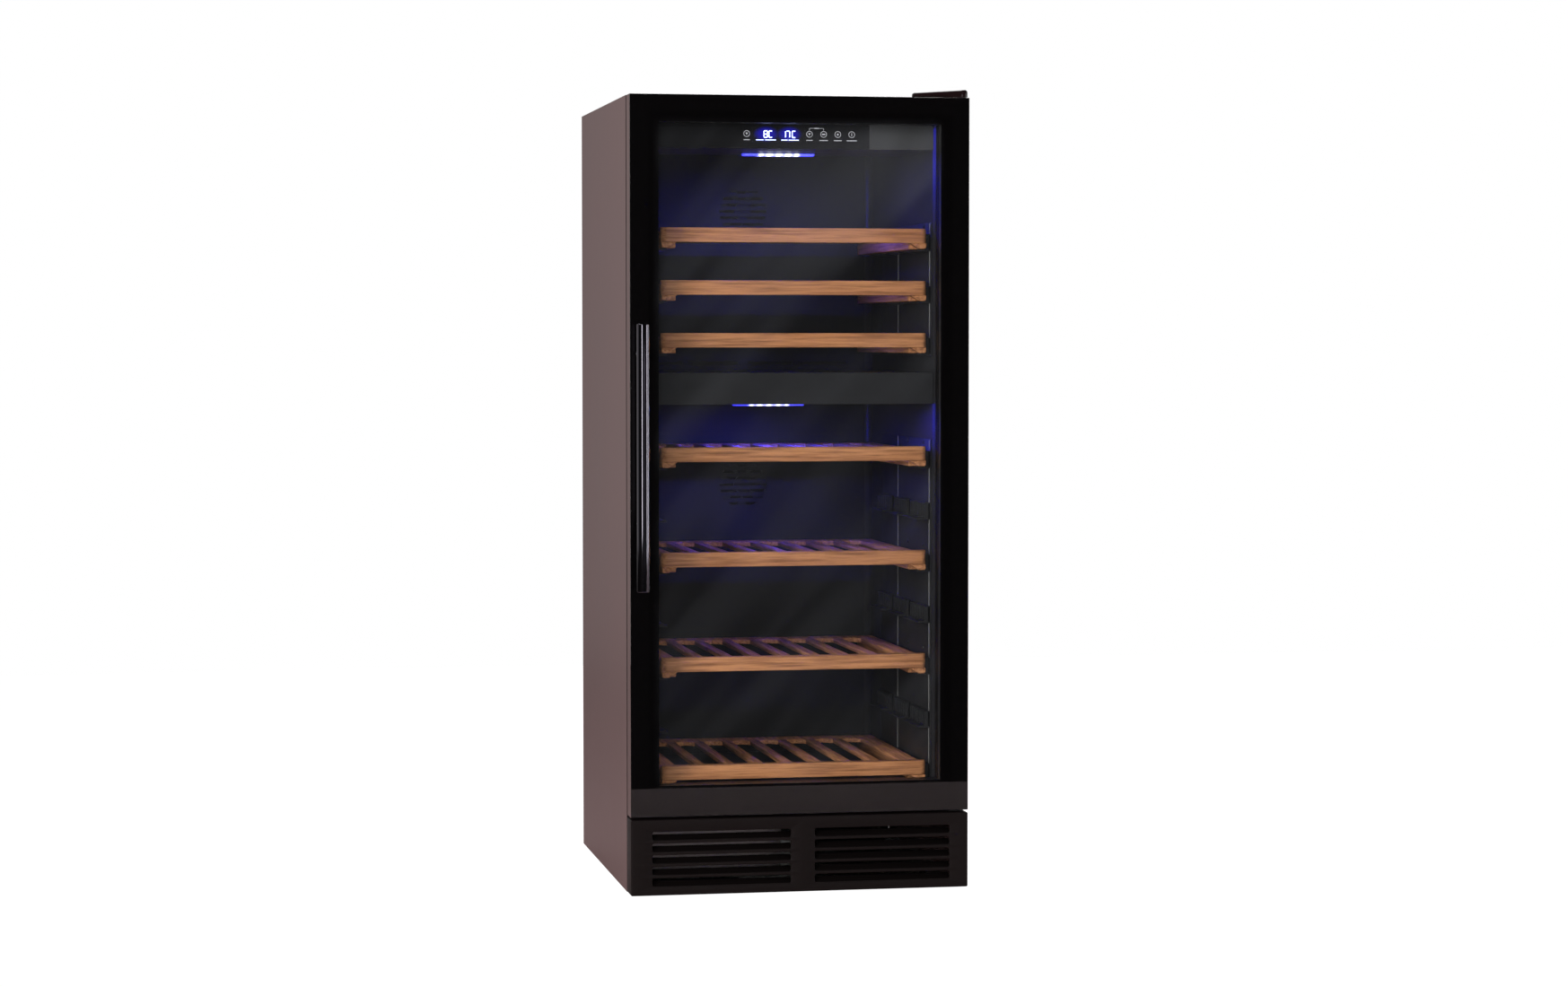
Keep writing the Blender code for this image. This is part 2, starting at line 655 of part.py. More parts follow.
def make_lower_bracket():
    """An angle bracket below the door: a plate cut back at both front corners, and a flange behind it."""
    right = HALF - 0.0015
    back = CABINET_FRONT - GAP
    left = 0.235
    nose_front = HINGE_Y - 0.006
    nose_left = HINGE_X - 0.0115
    nose_right = HINGE_X + 0.008
    plate_top = DOOR_BOTTOM - 0.0006
    plan = [(right, back - 0.020), (right, back), (left, back), (left, back - 0.008),
            (nose_left, nose_front), (nose_right, nose_front)]
    bracket = level_plate("bottom_hinge_bracket", "black_steel", [plan], PLINTH_TOP + 0.0009, plate_top)
    flange = ((left, back - 0.0027, 0.112), (right, back, plate_top))
    join(bracket, blocks("bottom_hinge_flange", [flange]))
    join(bracket, rod("bottom_hinge_pin", None, HINGE_PIN, (HINGE_X, HINGE_Y, plate_top - 0.002),
                      (HINGE_X, HINGE_Y, DOOR_BOTTOM + HINGE_PIN_DEPTH)))


def open_below(mesh):
    """Takes away the faces that look down."""
    bm = bmesh.new()
    bm.from_mesh(mesh)
    bm.normal_update()
    bmesh.ops.delete(bm, geom=[face for face in bm.faces if face.normal.z < -0.9], context="FACES")
    bmesh.ops.dissolve_limit(bm, angle_limit=0.01, verts=bm.verts, edges=bm.edges)
    bm.to_mesh(mesh)
    bm.free()


# ---- door ---------------------------------------------------------------------------------------
def window(margin):
    return rectangle(-WINDOW_HALF - margin, WINDOW_BOTTOM - margin, WINDOW_HALF + margin, WINDOW_TOP + margin)


def make_door():
    """Double-glazed door: outer pane over the whole front, frame, spacer, inner pane, seal and handle."""
    glass_back = DOOR_FRONT + GLASS
    frame_front = glass_back + GAP
    pane_front = frame_front + PANE_SPACE + GAP
    pocket_back = pane_front + GLASS + GAP
    frame = block("door_frame", "moulded_black", (-HALF, frame_front, DOOR_BOTTOM),
                  (HALF, DOOR_BACK, DOOR_TOP))
    edge = PANE_EDGE + GAP
    helper = [
        blocks("door_window_cutter", [((-WINDOW_HALF, frame_front - 0.02, WINDOW_BOTTOM),
                                       (WINDOW_HALF, DOOR_BACK + 0.02, WINDOW_TOP))]),
        blocks("door_pocket_cutter", [((-WINDOW_HALF - edge, frame_front - 0.01, WINDOW_BOTTOM - edge),
                                       (WINDOW_HALF + edge, pocket_back, WINDOW_TOP + edge))]),
    ]
    for name, bottom, top in (("top", DOOR_TOP - HINGE_PIN_DEPTH - 0.0005, DOOR_TOP + 0.01),
                              ("bottom", DOOR_BOTTOM - 0.01, DOOR_BOTTOM + HINGE_PIN_DEPTH + 0.0005)):
        helper.append(rod("door_" + name + "_pin_hole", None, HINGE_PIN + GAP,
                          (HINGE_X, HINGE_Y, bottom), (HINGE_X, HINGE_Y, top)))
    for cutter in helper:
        cut(frame, cutter)
    outer = block("outer_glass", "clear_glass", (-HALF, DOOR_FRONT, DOOR_BOTTOM),
                  (HALF, glass_back, DOOR_TOP))
    inner = upright_plate("inner_glass", "clear_glass", [window(PANE_EDGE)], pane_front, pane_front + GLASS)
    spacer = upright_plate("glazing_spacer", "spacer_grey", [window(PANE_EDGE), window(0.0)],
                           frame_front, frame_front + PANE_SPACE)
    seal_edge = 0.012
    seal = rectangle(-HALF + seal_edge, DOOR_BOTTOM + seal_edge, HALF - seal_edge, DOOR_TOP - seal_edge)
    hollow = rectangle(-HALF + 0.030, DOOR_BOTTOM + 0.030, HALF - 0.030, DOOR_TOP - 0.030)
    gasket = upright_plate("door_gasket", "seal_rubber", [seal, hollow], DOOR_BACK + GAP,
                           CABINET_FRONT - 0.001)
    hung = [frame, outer, inner, spacer, gasket] + helper + make_handle()
    carry(hung, axis_empty("door_hinge_line", (HINGE_X, HINGE_Y, DOOR_BOTTOM)))


def make_handle():
    """A round bar on two posts, each let into the back of the bar."""
    bar = rod("handle_bar", "dark_chrome", HANDLE_RADIUS, (HANDLE_X, HANDLE_Y, HANDLE_BOTTOM),
              (HANDLE_X, HANDLE_Y, HANDLE_TOP), sides=28)
    round_edges(bar, 0.0015)
    made = [bar]
    seat = HANDLE_Y + HANDLE_RADIUS - 0.002
    for name, height in POST_HEIGHTS.items():
        made.append(rod("handle_post_" + name, "dark_chrome", POST_RADIUS, (HANDLE_X, seat, height),
                        (HANDLE_X, DOOR_FRONT - GAP, height), sides=16))
        cutter = rod("handle_seat_" + name, None, POST_RADIUS + GAP, (HANDLE_X, seat - GAP, height),
                     (HANDLE_X, HANDLE_Y + 0.02, height), sides=16)
        cut(bar, cutter)
        made.append(cutter)
    return made


# ---- shelves ------------------------------------------------------------------------------------
def slot_outlines():
    """The deck's slots seen from above, with the rail's front at Y = 0.

    Each slot ends square at the front and in a low point at the back."""
    front = RAIL_DEPTH + GAP + FRONT_BOARD
    rear = SHELF_BACK - SHELF_FRONT - REAR_BOARD
    half = (SLAT_PITCH - SLAT) / 2
    outlines = []
    for i in range(SLOTS):
        x = (i - (SLOTS - 1) / 2) * SLAT_PITCH
        outlines.append([(x - half, front), (x + half, front), (x + half, rear), (x, rear + 0.014),
                         (x - half, rear)])
    return outlines


def runner_outline():
    """A side runner seen from the side: it passes under the front rail and rounds off at its nose."""
    back = SHELF_BACK - SHELF_FRONT - RUNNER_INSET
    front = RAIL_DEPTH + GAP + RUNNER_INSET
    under = -RAIL_HEIGHT - GAP
    nose = arc(0.008, -RUNNER_DROP + 0.006, 0.006, 180, 270, 3)
    return [(back, -RUNNER_DROP), (back, -DECK_DROP - 0.002), (front, -DECK_DROP - 0.002),
            (front, under), (0.002, under)] + nose


def make_deck_mesh():
    """The deck and its two side runners as one solid, shared by all the shelves."""
    deck = block("deck", "beech", (-SHELF_HALF, RAIL_DEPTH + GAP, -DECK_DROP - DECK),
                 (SHELF_HALF, SHELF_BACK - SHELF_FRONT, -DECK_DROP))
    slots = level_plate("deck_slots", None, slot_outlines(), -0.03, 0.03)
    cut(deck, slots)
    runners = []
    for name, side in (("left", -1), ("right", 1)):
        left, right = sorted((side * (SHELF_HALF - RUNNER_INSET), side * (SHELF_HALF - RUNNER_WIDTH)))
        runners.append(cross_plate("runner_" + name, None, [runner_outline()], left, right))
        join(deck, runners[-1])
    mesh = evaluated_mesh(deck, "shelf_deck")
    mesh.transform(deck.matrix_world)
    for item in [deck, slots] + runners:
        bpy.data.objects.remove(item)
    return mesh


def make_rail_mesh():
    """The front rail with round corners at both ends, shared by all the shelves."""
    radius = 0.011
    outline = [(SHELF_HALF, RAIL_DEPTH), (-SHELF_HALF, RAIL_DEPTH)]
    outline += arc(-SHELF_HALF + radius, radius, radius, 180, 270, 5)
    outline += arc(SHELF_HALF - radius, radius, radius, 270, 360, 5)
    mesh = flat_mesh("shelf_rail", [outline], RAIL_HEIGHT)
    mesh.transform(Matrix.Translation((0.0, 0.0, -RAIL_HEIGHT / 2)))
    shade_round(mesh)
    return mesh


def make_shelves():
    deck = make_deck_mesh()
    rail = make_rail_mesh()
    for number, top in enumerate(SHELF_TOPS, start=1):
        name = "shelf_" + str(number)
        place = (0.0, SHELF_FRONT, top)
        board = add(name + "_deck", deck, "beech", place)
        front = add(name + "_front", rail, "beech", place)
        carry([board, front], axis_empty(name + "_slide", place))


def main():
    start()
    make_casing()
    make_insulated_box()
    make_air_system("upper", DIVIDER_TOP, CAVITY_CEILING, UPPER_FAN_Z, 0.935, 1.125)
    make_air_system("lower", CAVITY_FLOOR, DIVIDER_BOTTOM, LOWER_FAN_Z, 0.260, 0.600)
    make_controls()
    for side_name, side in (("left", -1), ("right", 1)):
        make_rack("upper_rack_" + side_name, side, UPPER_PLACES)
        make_rack("lower_rack_" + side_name, side, LOWER_PLACES)
    make_base()
    make_plinth()
    make_machine()
    make_hinges()
    make_door()
    make_shelves()


main()
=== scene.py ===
"""The looks of a tall two-zone wine cooler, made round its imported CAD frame.

Metres, +Z up, the door faces -Y. New pieces are surfaces worked out as whole arrays; the CAD nodes that
already have their right shape are welded, get rounded edges and a procedural finish.
"""

import math

import bmesh
import bpy
import numpy as np
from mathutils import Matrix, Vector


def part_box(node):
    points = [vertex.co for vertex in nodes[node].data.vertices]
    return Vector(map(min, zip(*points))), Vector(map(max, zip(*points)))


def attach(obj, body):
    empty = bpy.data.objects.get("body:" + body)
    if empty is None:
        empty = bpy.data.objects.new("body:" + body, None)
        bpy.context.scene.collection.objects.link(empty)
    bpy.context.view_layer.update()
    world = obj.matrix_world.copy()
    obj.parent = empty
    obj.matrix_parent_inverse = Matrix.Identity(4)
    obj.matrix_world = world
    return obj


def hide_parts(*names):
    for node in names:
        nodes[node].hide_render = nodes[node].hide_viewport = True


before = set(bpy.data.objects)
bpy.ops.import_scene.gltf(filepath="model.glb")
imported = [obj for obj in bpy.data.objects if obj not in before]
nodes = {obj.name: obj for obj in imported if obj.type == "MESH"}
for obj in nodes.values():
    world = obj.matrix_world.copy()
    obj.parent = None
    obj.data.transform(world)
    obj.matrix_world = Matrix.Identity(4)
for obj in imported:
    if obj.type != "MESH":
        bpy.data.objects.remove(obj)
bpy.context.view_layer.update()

# ---- driving dimensions, as in the CAD ----------------------------------------------------------
DOOR_LOW, DOOR_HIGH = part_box("door_frame")
GLASS_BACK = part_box("outer_glass")[1].y
SPACER_LOW, SPACER_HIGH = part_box("glazing_spacer")
LINER_LOW, LINER_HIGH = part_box("inner_liner")
COVER_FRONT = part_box("upper_fan_cover")[0].y
DIVIDER_LOW, DIVIDER_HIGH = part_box("zone_divider")
RACK_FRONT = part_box("upper_rack_left")[0].y
PANEL_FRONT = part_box("side_panel_left")[0].y
PANE_EDGE = 0.010           # the inner pane and the spacer reach this far behind the frame
LINER_WALL = 0.0015
WALL = LINER_HIGH.x - LINER_WALL
FLOOR = LINER_LOW.z + LINER_WALL
CEILING = LINER_HIGH.z - LINER_WALL
BACK = LINER_HIGH.y - LINER_WALL
SHELF_NAMES = ["shelf_%d" % number for number in range(1, 8)]
SHELF_TOPS = {name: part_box(name + "_front")[1].z for name in SHELF_NAMES}
SHELF_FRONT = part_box("shelf_1_front")[0].y
SHELF_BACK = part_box("shelf_1_deck")[1].y
SHELF_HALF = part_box("shelf_1_front")[1].x
PITCH = SHELF_TOPS["shelf_1"] - SHELF_TOPS["shelf_2"]
LOW_PITCH = (SHELF_TOPS["shelf_6"] - SHELF_TOPS["shelf_7"]) / 2
UPPER_PLACES = [SHELF_TOPS["shelf_1"] - step * PITCH for step in range(3)]
LOWER_PLACES = [SHELF_TOPS["shelf_4"] - step * PITCH for step in range(5)]
LOWER_PLACES += [SHELF_TOPS["shelf_6"] - step * LOW_PITCH for step in (1, 2)]
MM = 0.001


# ---- surfaces -----------------------------------------------------------------------------------
PLANES = {"XY": (0, 1, 2), "XZ": (0, 2, 1), "YZ": (1, 2, 0)}


def rect(x0, y0, x1, y1):
    return np.array([(x0, y0), (x1, y0), (x1, y1), (x0, y1)], float)


def outline(corners, radius, inset=0.0, steps=4):
    """A closed outline inside a convex, anticlockwise polygon.

    Every side moves in by the inset, and each corner becomes an arc of the radius less the inset, about the
    point where the two sides would meet if they moved in by the inset and that radius."""
    corners = np.asarray(corners, float)
    along = np.roll(corners, -1, axis=0) - corners
    along /= np.linalg.norm(along, axis=1, keepdims=True)
    inward = np.stack([-along[:, 1], along[:, 0]], axis=1)
    before = np.roll(inward, 1, axis=0)
    reach = np.maximum(np.broadcast_to(radius, len(corners)) - inset, 0.05 * MM)[:, None]
    middle = corners + (inward + before) / (1 + (inward * before).sum(1, keepdims=True)) * (inset + reach)
    first = np.arctan2(-before[:, 1], -before[:, 0])
    turn = np.mod(np.arctan2(-inward[:, 1], -inward[:, 0]) - first, 2 * math.pi)
    angle = first[:, None] + turn[:, None] * np.linspace(0, 1, steps + 1)
    points = middle[:, None] + reach[:, None] * np.stack([np.cos(angle), np.sin(angle)], axis=-1)
    return points.reshape(-1, 2)


def circle(x, y, radius, sides=48):
    """Points at even angles: centre plus radius times cosine and sine."""
    angle = np.linspace(0, 2 * math.pi, sides, endpoint=False)
    return np.stack([x + radius * np.cos(angle), y + radius * np.sin(angle)], axis=1)


def loft(levels, plane="XY", ring=False):
    """Outlines of equal count at rising heights, each joined to the next by a band of squares.

    The two ends are closed by one face each, or the last outline joins the first when it is a ring."""
    flat = np.stack([shape for shape, height in levels])
    count, around = flat.shape[:2]
    heights = np.array([height for shape, height in levels])
    heights = np.broadcast_to(heights[:, None, None], (count, around, 1))
    points = np.empty((count, around, 3))
    points[..., PLANES[plane]] = np.concatenate([flat, heights], axis=2)
    row = np.arange(count if ring else count - 1)[:, None] * around
    next_row = (row + around) % (count * around)
    column = np.arange(around)[None]
    next_column = (column + 1) % around
    quads = np.stack([row + column, row + next_column, next_row + next_column, next_row + column], axis=-1)
    caps = [] if ring else [np.arange(around)[::-1], np.arange(around) + (count - 1) * around]
    return points.reshape(-1, 3), quads.reshape(-1, 4), caps


def pad(corners, low, high, edge, radius, plane="XY", steps=2, turns=4):
    """A plate with a convex outline whose two faces meet its side in quarter rounds.

    At angle t through the round the outline is inset by edge(1 - sin t) and rises by edge(1 - cos t)."""
    turn = np.linspace(0, math.pi / 2, steps + 1)
    insets = edge * (1 - np.sin(turn))
    rises = edge * (1 - np.cos(turn))
    levels = [(outline(corners, radius, inset, turns), low + rise) for inset, rise in zip(insets, rises)]
    levels += [(outline(corners, radius, inset, turns), high - rise)
               for inset, rise in zip(insets[::-1], rises[::-1])]
    return loft(levels, plane)


def slab(low, high, edge, plane="XY", steps=2, turns=2):
    """A pad that fills the box between two corners, rounded by the edge all over."""
    first, second, third = PLANES[plane]
    corners = rect(low[first], low[second], high[first], high[second])
    return pad(corners, low[third], high[third], edge, edge, plane, steps, turns)


def turned(profile, centre, plane="XY", sides=48):
    """A profile of (radius, height) turned about the line through the centre across the plane."""
    first, second, third = PLANES[plane]
    x, y, base = centre[first], centre[second], centre[third]
    return loft([(circle(x, y, max(radius, 0.02 * MM), sides), base + height)
                 for radius, height in profile], plane)


def hoop(outer, inner, low, high, plane="XZ"):
    """A flat ring between two outlines of equal count and two heights."""
    return loft([(outer, low), (outer, high), (inner, high), (inner, low)], plane, ring=True)


def piece(name, surfaces, finish, body, replaced=(), crease=40.0):
    """One object from several closed surfaces, riding on a body."""
    points = np.concatenate([surface[0] for surface in surfaces])
    starts = np.cumsum([0] + [len(surface[0]) for surface in surfaces])
    faces = []
    for start, (_, quads, caps) in zip(starts, surfaces):
        faces += (quads + start).tolist() + [(cap + start).tolist() for cap in caps]
    mesh = bpy.data.meshes.new(name)
    mesh.from_pydata(points.tolist(), [], faces)
    bm = bmesh.new()
    bm.from_mesh(mesh)
    bmesh.ops.recalc_face_normals(bm, faces=bm.faces)
    bm.to_mesh(mesh)
    bm.free()
    mesh.shade_smooth()
    mesh.set_sharp_from_angle(angle=math.radians(crease))
    mesh.materials.append(finish)
    item = bpy.data.objects.new(name, mesh)
    bpy.context.scene.collection.objects.link(item)
    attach(item, body)
    if replaced:
        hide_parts(*replaced)
    return item


def dress(name, finish, edge=0.4 * MM, segments=2):
    """Gives a CAD node its finish. Its loose triangles are welded so that a bevel can round its edges."""
    item = nodes[name]
    item.data.materials.clear()
    item.data.materials.append(finish)
    if edge:
        weld = item.modifiers.new("weld", "WELD")
        weld.merge_threshold = 0.01 * MM
        bevel = item.modifiers.new("rounded_edges", "BEVEL")
        bevel.width = edge
        bevel.segments = segments
        bevel.limit_method = "ANGLE"
        bevel.angle_limit = math.radians(35.0)
        bevel.harden_normals = True
    return item


# ---- materials ----------------------------------------------------------------------------------
def linear(code):
    """An sRGB hex colour as linear RGBA."""
    parts = np.array([int(code[i:i + 2], 16) for i in (1, 3, 5)]) / 255.0
    values = np.where(parts <= 0.04045, parts / 12.92, ((parts + 0.055) / 1.055) ** 2.4)
    return (*values.tolist(), 1.0)


def add(tree, kind, inputs=None, **settings):
    """Adds one shader node with its settings, and sets or links its inputs, a node by its first output."""
    made = tree.nodes.new("ShaderNode" + kind)
    for key, value in settings.items():
        setattr(made, key, value)
    for key, value in (inputs or {}).items():
        value = value.outputs[0] if isinstance(value, bpy.types.Node) else value
        if isinstance(value, bpy.types.NodeSocket):
            tree.links.new(value, made.inputs[key])
        else:
            made.inputs[key].default_value = value
    return made


def fade(tree, *steps):
    """Smooth steps multiplied together. Each is (value, start, end, level before, level after)."""
    product = None
    for value, start, end, low, high in steps:
        step = add(tree, "MapRange", {"Value": value, "From Min": start, "From Max": end, "To Min": low,
                                      "To Max": high}, interpolation_type="SMOOTHSTEP")
        if product is not None:
            step = add(tree, "Math", {0: product, 1: step}, operation="MULTIPLY")
        product = step
    return product


def start_material(name, colour, roughness, metallic=0.0):
    """A material with its Principled shader, and the Object coordinates its patterns read."""
    made = bpy.data.materials.new(name)
    made.use_nodes = True
    tree = made.node_tree
    shader = tree.nodes["Principled BSDF"]
    shader.inputs["Base Color"].default_value = linear(colour)
    shader.inputs["Roughness"].default_value = roughness
    shader.inputs["Metallic"].default_value = metallic
    place = add(tree, "TexCoord").outputs["Object"]
    return made, tree, shader, place


def lay(tree, shader, pattern, tones=None, gloss=None, relief=None):
    """Lays a pattern on a finish: as two tones of its colour, a range of its roughness, or a relief.

    A tone is a hex colour or the tones laid before, which are returned. A relief is (strength, depth)."""
    colours = None
    if tones:
        pair = [linear(tone) if isinstance(tone, str) else tone for tone in tones]
        colours = add(tree, "Mix", {0: pattern, 6: pair[0], 7: pair[1]}, data_type="RGBA").outputs[2]
        tree.links.new(colours, shader.inputs["Base Color"])
    if gloss:
        rough = add(tree, "MapRange", {"Value": pattern, "To Min": gloss[0], "To Max": gloss[1]})
        tree.links.new(rough.outputs[0], shader.inputs["Roughness"])
    if relief:
        bump = add(tree, "Bump", {"Height": pattern, "Strength": relief[0], "Distance": relief[1]})
        tree.links.new(bump.outputs[0], shader.inputs["Normal"])
    return colours


def shine(tree, shader, colour, strength):
    """Gives a finish its own light: a colour, and a strength that varies over the surface."""
    shader.inputs["Emission Color"].default_value = linear(colour)
    tree.links.new(strength.outputs[0], shader.inputs["Emission Strength"])


def powder_coated_steel():
    """Powder-coated steel: satin brown-grey with orange peel, slow changes of tone, and near-black painted
    shade along its front edges.
    """
    made, tree, shader, place = start_material("powder_coated_steel", "#6B5555", 0.44)
    tone = add(tree, "TexNoise", {"Vector": place, "Scale": 1 / (180 * MM), "Detail": 3.0})
    brown = lay(tree, shader, tone, ("#665050", "#705A5A"), gloss=(0.38, 0.47))
    axes = add(tree, "SeparateXYZ", {"Vector": place})
    # Painted shade: the panels' front edges, seen in the gap beside the door, are coloured near-black.
    painted_gap_shade = add(tree, "Math", {0: axes.outputs["Y"], 1: PANEL_FRONT + 0.4 * MM}, operation="LESS_THAN")
    lay(tree, shader, painted_gap_shade, (brown, "#1C1717"))
    peel = add(tree, "TexNoise", {"Vector": place, "Scale": 1 / (2.4 * MM), "Detail": 2.0})
    lay(tree, shader, peel, relief=(0.12, 0.15 * MM))
    return made


def galvanised_steel():
    """Hot-dip galvanised sheet: zinc crystals a centimetre across, each with its own tone and gloss."""
    made, tree, shader, place = start_material("galvanised_steel", "#A3A7A8", 0.42, 1.0)
    crystals = add(tree, "TexVoronoi", {"Vector": place, "Scale": 1 / (11 * MM)})
    tone = add(tree, "SeparateColor", {"Color": crystals.outputs["Color"]})
    lay(tree, shader, tone.outputs[0], ("#8F9496", "#B9BCBB"))
    lay(tree, shader, tone.outputs[1], gloss=(0.32, 0.52))
    return made


def drawn_metal(name, colour, roughness, spacing, tones=None, gloss=None):
    """Rolled or polished metal: noise stretched along its lines, whose spacing is (x, y, z) in metres."""
    made, tree, shader, place = start_material(name, colour, roughness, 1.0)
    stretched = add(tree, "Mapping", {"Vector": place, "Scale": tuple(1 / size for size in spacing)})
    lines = add(tree, "TexNoise", {"Vector": stretched, "Scale": 1.0, "Detail": 2.0})
    lay(tree, shader, lines, tones, gloss)
    return made


def black_enamelled_steel():
    """Black enamelled pressed steel: the slightly uneven gloss of dipped paint."""
    made, tree, shader, place = start_material("black_enamelled_steel", "#1A1A1C", 0.30)
    runs = add(tree, "TexNoise", {"Vector": place, "Scale": 1 / (14 * MM), "Detail": 2.0})
    lay(tree, shader, runs, gloss=(0.24, 0.40), relief=(0.2, 0.4 * MM))
    return made


def textured_abs(name, colour, roughness, grit, shine_level=0.5):
    """Moulded ABS: a dark plastic whose tool was spark-eroded, so that its gloss is broken by fine grit."""
    made, tree, shader, place = start_material(name, colour, roughness)
    shader.inputs["Specular IOR Level"].default_value = shine_level
    texture = add(tree, "TexNoise", {"Vector": place, "Scale": 1 / grit, "Detail": 3.0})
    lay(tree, shader, texture, relief=(0.25, 0.1 * MM))
    flow = add(tree, "TexNoise", {"Vector": place, "Scale": 1 / (60 * MM), "Detail": 2.0})
    lay(tree, shader, flow, gloss=(roughness - 0.06, roughness + 0.06))
    return made


def gloss_abs(name, colour):
    """Gloss ABS from a polished tool: a black mirror with the faint waves of cooling plastic."""
    made, tree, shader, place = start_material(name, colour, 0.10)
    waves = add(tree, "TexNoise", {"Vector": place, "Scale": 1 / (22 * MM), "Detail": 1.0})
    lay(tree, shader, waves, gloss=(0.07, 0.15), relief=(0.12, 0.5 * MM))
    return made


def vacuum_formed_liner():
    """Vacuum-formed polystyrene: charcoal black, softly shining, stretched a little unevenly.

    Its bare strip in front of the right-hand racks has a painted reflection of the lamps' blue, laid on as a
    glow
    of its own: bright under the ceiling, fainter under the divider, and gone where the racks begin."""
    made, tree, shader, place = start_material("vacuum_formed_liner", "#262629", 0.32)
    stretch = add(tree, "TexNoise", {"Vector": place, "Scale": 1 / (70 * MM), "Detail": 2.0})
    lay(tree, shader, stretch, ("#222225", "#2A2A2E"), gloss=(0.28, 0.38))
    grain = add(tree, "TexNoise", {"Vector": place, "Scale": 1 / (1.6 * MM), "Detail": 2.0})
    lay(tree, shader, grain, relief=(0.10, 0.1 * MM))
    x, y, z = add(tree, "SeparateXYZ", {"Vector": place}).outputs
    # Painted reflection: a blue glow on the right wall's bare front strip, under the ceiling and under the
    # divider.
    wall = add(tree, "Math", {0: x, 1: WALL - 1 * MM}, operation="GREATER_THAN")
    strip = fade(tree, (y, RACK_FRONT - 6 * MM, RACK_FRONT, 0.30, 0.0))
    upper = fade(tree, (z, CEILING - 190 * MM, CEILING - 60 * MM, 0.0, 1.0))
    lower = fade(tree, (z, DIVIDER_LOW.z - 110 * MM, DIVIDER_LOW.z - 10 * MM, 0.0, 0.6),
                 (z, DIVIDER_LOW.z, DIVIDER_LOW.z + 1 * MM, 1.0, 0.0))
    level = add(tree, "Math", {0: upper, 1: lower}, operation="ADD")
    edge = add(tree, "Math", {0: wall, 1: strip}, operation="MULTIPLY")
    shine(tree, shader, "#1A12FF", add(tree, "Math", {0: edge, 1: level}, operation="MULTIPLY"))
    return made


def door_frame_plastic():
    """Extruded door frame: black inside, its two long sides painted to match the cabinet."""
    made, tree, shader, place = start_material("door_frame_plastic", "#070606", 0.45)
    axes = add(tree, "SeparateXYZ", {"Vector": place})
    reach = add(tree, "Math", {0: axes.outputs["X"]}, operation="ABSOLUTE")
    side = add(tree, "Math", {0: reach, 1: DOOR_HIGH.x - 0.6 * MM}, operation="GREATER_THAN")
    lay(tree, shader, side, ("#070606", "#655151"))
    peel = add(tree, "TexNoise", {"Vector": place, "Scale": 1 / (2.0 * MM), "Detail": 2.0})
    lay(tree, shader, peel, relief=(0.12, 0.12 * MM))
    return made


def float_glass(name, tint):
    """Float glass: clear, with hardly any body colour. Lamps shine through it."""
    made, tree, shader, place = start_material(name, tint, 0.0)
    shader.inputs["Transmission Weight"].default_value = 1.0
    shader.inputs["IOR"].default_value = 1.5
    path = add(tree, "LightPath")
    clear = add(tree, "BsdfTransparent", {"Color": linear(tint)})
    mixed = add(tree, "MixShader", {0: path.outputs["Is Shadow Ray"], 1: shader, 2: clear})
    tree.links.new(mixed.outputs[0], tree.nodes["Material Output"].inputs["Surface"])
    return made


def mottled(name, colour, roughness, spot, detail, tones, gloss=None, metallic=0.0):
    """A finish whose tone, and gloss where given, drifts between two values in spots of one size."""
    made, tree, shader, place = start_material(name, colour, roughness, metallic)
    spots = add(tree, "TexNoise", {"Vector": place, "Scale": 1 / spot, "Detail": detail})
    lay(tree, shader, spots, tones, gloss)
    return made


def fired_enamel():
    """Ceramic enamel fired on the back of the glass: dead black with pinholes too small to count."""
    made = mottled("fired_enamel", "#060506", 0.6, 1.2 * MM, 2.0, ("#040304", "#080708"))
    made.node_tree.nodes["Principled BSDF"].inputs["Specular IOR Level"].default_value = 0.0
    return made


def oiled_beech(name, grain):
    """Oiled beech: warm pinkish brown, straight fine grain, and the short dark flecks of its rays.

    grain is the pattern's size in metres along X, Y and Z: long along the board, short across it."""
    made, tree, shader, place = start_material(name, "#B07A5A", 0.48)
    board = add(tree, "Mapping", {"Vector": place, "Scale": tuple(1 / size for size in grain)})
    fibres = add(tree, "TexNoise", {"Vector": board, "Scale": 1.0, "Detail": 4.0, "Roughness": 0.6})
    rings = add(tree, "TexNoise", {"Vector": board, "Scale": 0.16, "Detail": 2.0, "Distortion": 0.4})
    warm = lay(tree, shader, rings, ("#B4764C", "#DB9D71"))
    streaks = add(tree, "MapRange", {"Value": fibres, "From Min": 0.40, "From Max": 0.68, "To Max": 0.90})
    dark = lay(tree, shader, streaks, (warm, "#7F5036"))
    rays = add(tree, "TexVoronoi", {"Vector": board, "Scale": 2.6})
    fleck = add(tree, "MapRange", {"Value": rays, "From Min": 0.05, "From Max": 0.20, "To Min": 0.45,
                                   "To Max": 0.0})
    lay(tree, shader, fleck, (dark, "#6E4430"))
    lay(tree, shader, fibres, gloss=(0.40, 0.58), relief=(0.25, 0.2 * MM))
    return made


LAMP_BLUE = "#2B2BFF"


